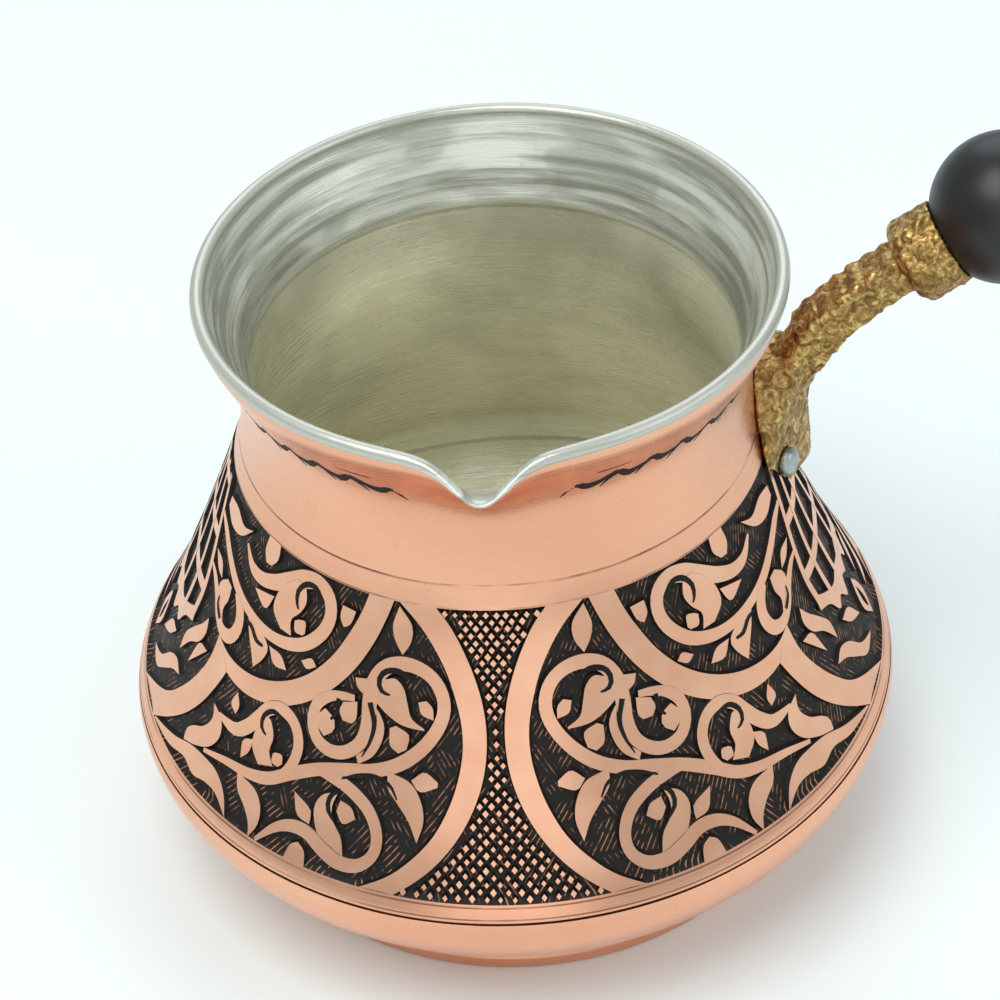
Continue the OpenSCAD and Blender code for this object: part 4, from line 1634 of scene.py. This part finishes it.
@dataclass(frozen=True)
class Lamp:
    """A square area light: its place and side in metres, its power in watts and its colour."""

    name: str
    spot: tuple[float, float, float]
    size: float
    power: float
    colour: str

    def build(self, target: Vector) -> None:
        """Hang the light.

        Args:
            target: The point that it faces, in metres.
        """
        data = bpy.data.lights.new(self.name, "AREA")
        data.shape, data.size, data.energy = "SQUARE", self.size, self.power
        data.color = linear(self.colour)[:3]
        made = bpy.data.objects.new(self.name, data)
        made.rotation_euler = (Vector(self.spot) - target).to_track_quat("Z", "Y").to_euler()
        made.location = self.spot
        bpy.context.scene.collection.objects.link(made)


@dataclass
class Studio:
    """Pale floor, soft light and the camera."""

    shape: PotShape
    floor_size: float = 6.0  # metres
    floor_colour: str = "#EDF6F8"
    sky_colour: str = "#EAF3F5"
    sky_strength: float = 0.6
    lit: tuple[float, float, float] = (0, 0, 0.04)  # the point that the lights face, in metres
    lamps: tuple[Lamp, ...] = (
        Lamp("key", (-0.32, -0.28, 1.05), 0.7, 6.8, "#FFFDF8"),
        Lamp("fill", (0.75, -0.35, 0.6), 0.6, 1.8, "#F4FAFF"),
        Lamp("front", (-0.15, -1.1, 0.4), 0.8, 1.5, "#F8F8FA"),
        Lamp("back", (0.1, 0.8, 0.7), 0.7, 2.2, "#F4FBFF"),
    )
    elevation: float = 40.7
    roll: float = 3.9
    handle_turn: float = 3.0  # how far the handle points away from the camera's right
    distance: float = 360.0  # from the middle of the rim, in millimetres
    slide: Point = (-1.392, 28.212)  # millimetres from the view's centre to the rim's middle
    sensor: float = 36.0
    lens: float = 107.2764

    def camera(self) -> None:
        """Place the camera above and in front of the pot."""
        el, roll = math.radians(self.elevation), math.radians(self.roll)
        back = Vector((0, -math.cos(el), math.sin(el)))
        right = Vector((1, 0, 0))
        up = Vector((0, math.sin(el), math.cos(el)))
        x_axis = math.cos(roll) * right - math.sin(roll) * up
        y_axis = math.sin(roll) * right + math.cos(roll) * up
        spot = back * self.distance - self.slide[0] * x_axis - self.slide[1] * y_axis
        turn = Matrix.Rotation(math.radians(-self.handle_turn), 4, "Z")
        axes = Matrix((x_axis, y_axis, back)).transposed().to_4x4()
        rim = Matrix.Translation((0, 0, self.shape.height * MM))
        data = bpy.data.cameras.new("camera")
        data.sensor_width, data.lens = self.sensor, self.lens
        data.clip_start = 0.01
        made = bpy.data.objects.new("camera", data)
        made.matrix_world = rim @ turn @ Matrix.Translation(spot * MM) @ axes
        bpy.context.scene.collection.objects.link(made)
        bpy.context.scene.camera = made

    def floor(self) -> None:
        """A plain pale floor."""
        bm = bmesh.new()
        bmesh.ops.create_grid(bm, x_segments=1, y_segments=1, size=self.floor_size / 2)
        mesh = bpy.data.meshes.new("floor")
        bm.to_mesh(mesh)
        bm.free()
        material = bpy.data.materials.new("pale_floor")
        material.use_nodes = True
        shader = material.node_tree.nodes["Principled BSDF"]
        shader.inputs["Base Color"].default_value = linear(self.floor_colour)
        shader.inputs["Roughness"].default_value = 0.6
        mesh.materials.append(material)
        made = bpy.data.objects.new("floor", mesh)
        bpy.context.scene.collection.objects.link(made)

    def build(self) -> None:
        """Set the world, the lights, the floor and the camera."""
        scene = bpy.context.scene
        scene.view_settings.view_transform = "Standard"  # keeps the pale copper's own colour
        scene.world = bpy.data.worlds.new("studio")
        scene.world.use_nodes = True
        sky = scene.world.node_tree.nodes["Background"]
        sky.inputs["Color"].default_value = linear(self.sky_colour)
        sky.inputs["Strength"].default_value = self.sky_strength
        for lamp in self.lamps:
            lamp.build(Vector(self.lit))
        self.floor()
        self.camera()


def main() -> None:
    """Build every sub-assembly in order, and report each piece."""
    logging.basicConfig(level=logging.INFO, format="%(name)s: %(message)s")
    shape = PotShape()
    handle = Handle(shape)
    CopperPot(shape).build()
    TinCoat(shape).build()
    engraving = Engraving(shape)
    engraving.raised()
    engraving.cut_lines()
    Bracket(handle).build()
    Rivets(handle).build()
    Grip(handle).build()
    for node in ("grip_washer", "grip_screw"):
        dress_fastener(node)
    Studio(shape).build()


if __name__ == "__main__":
    main()
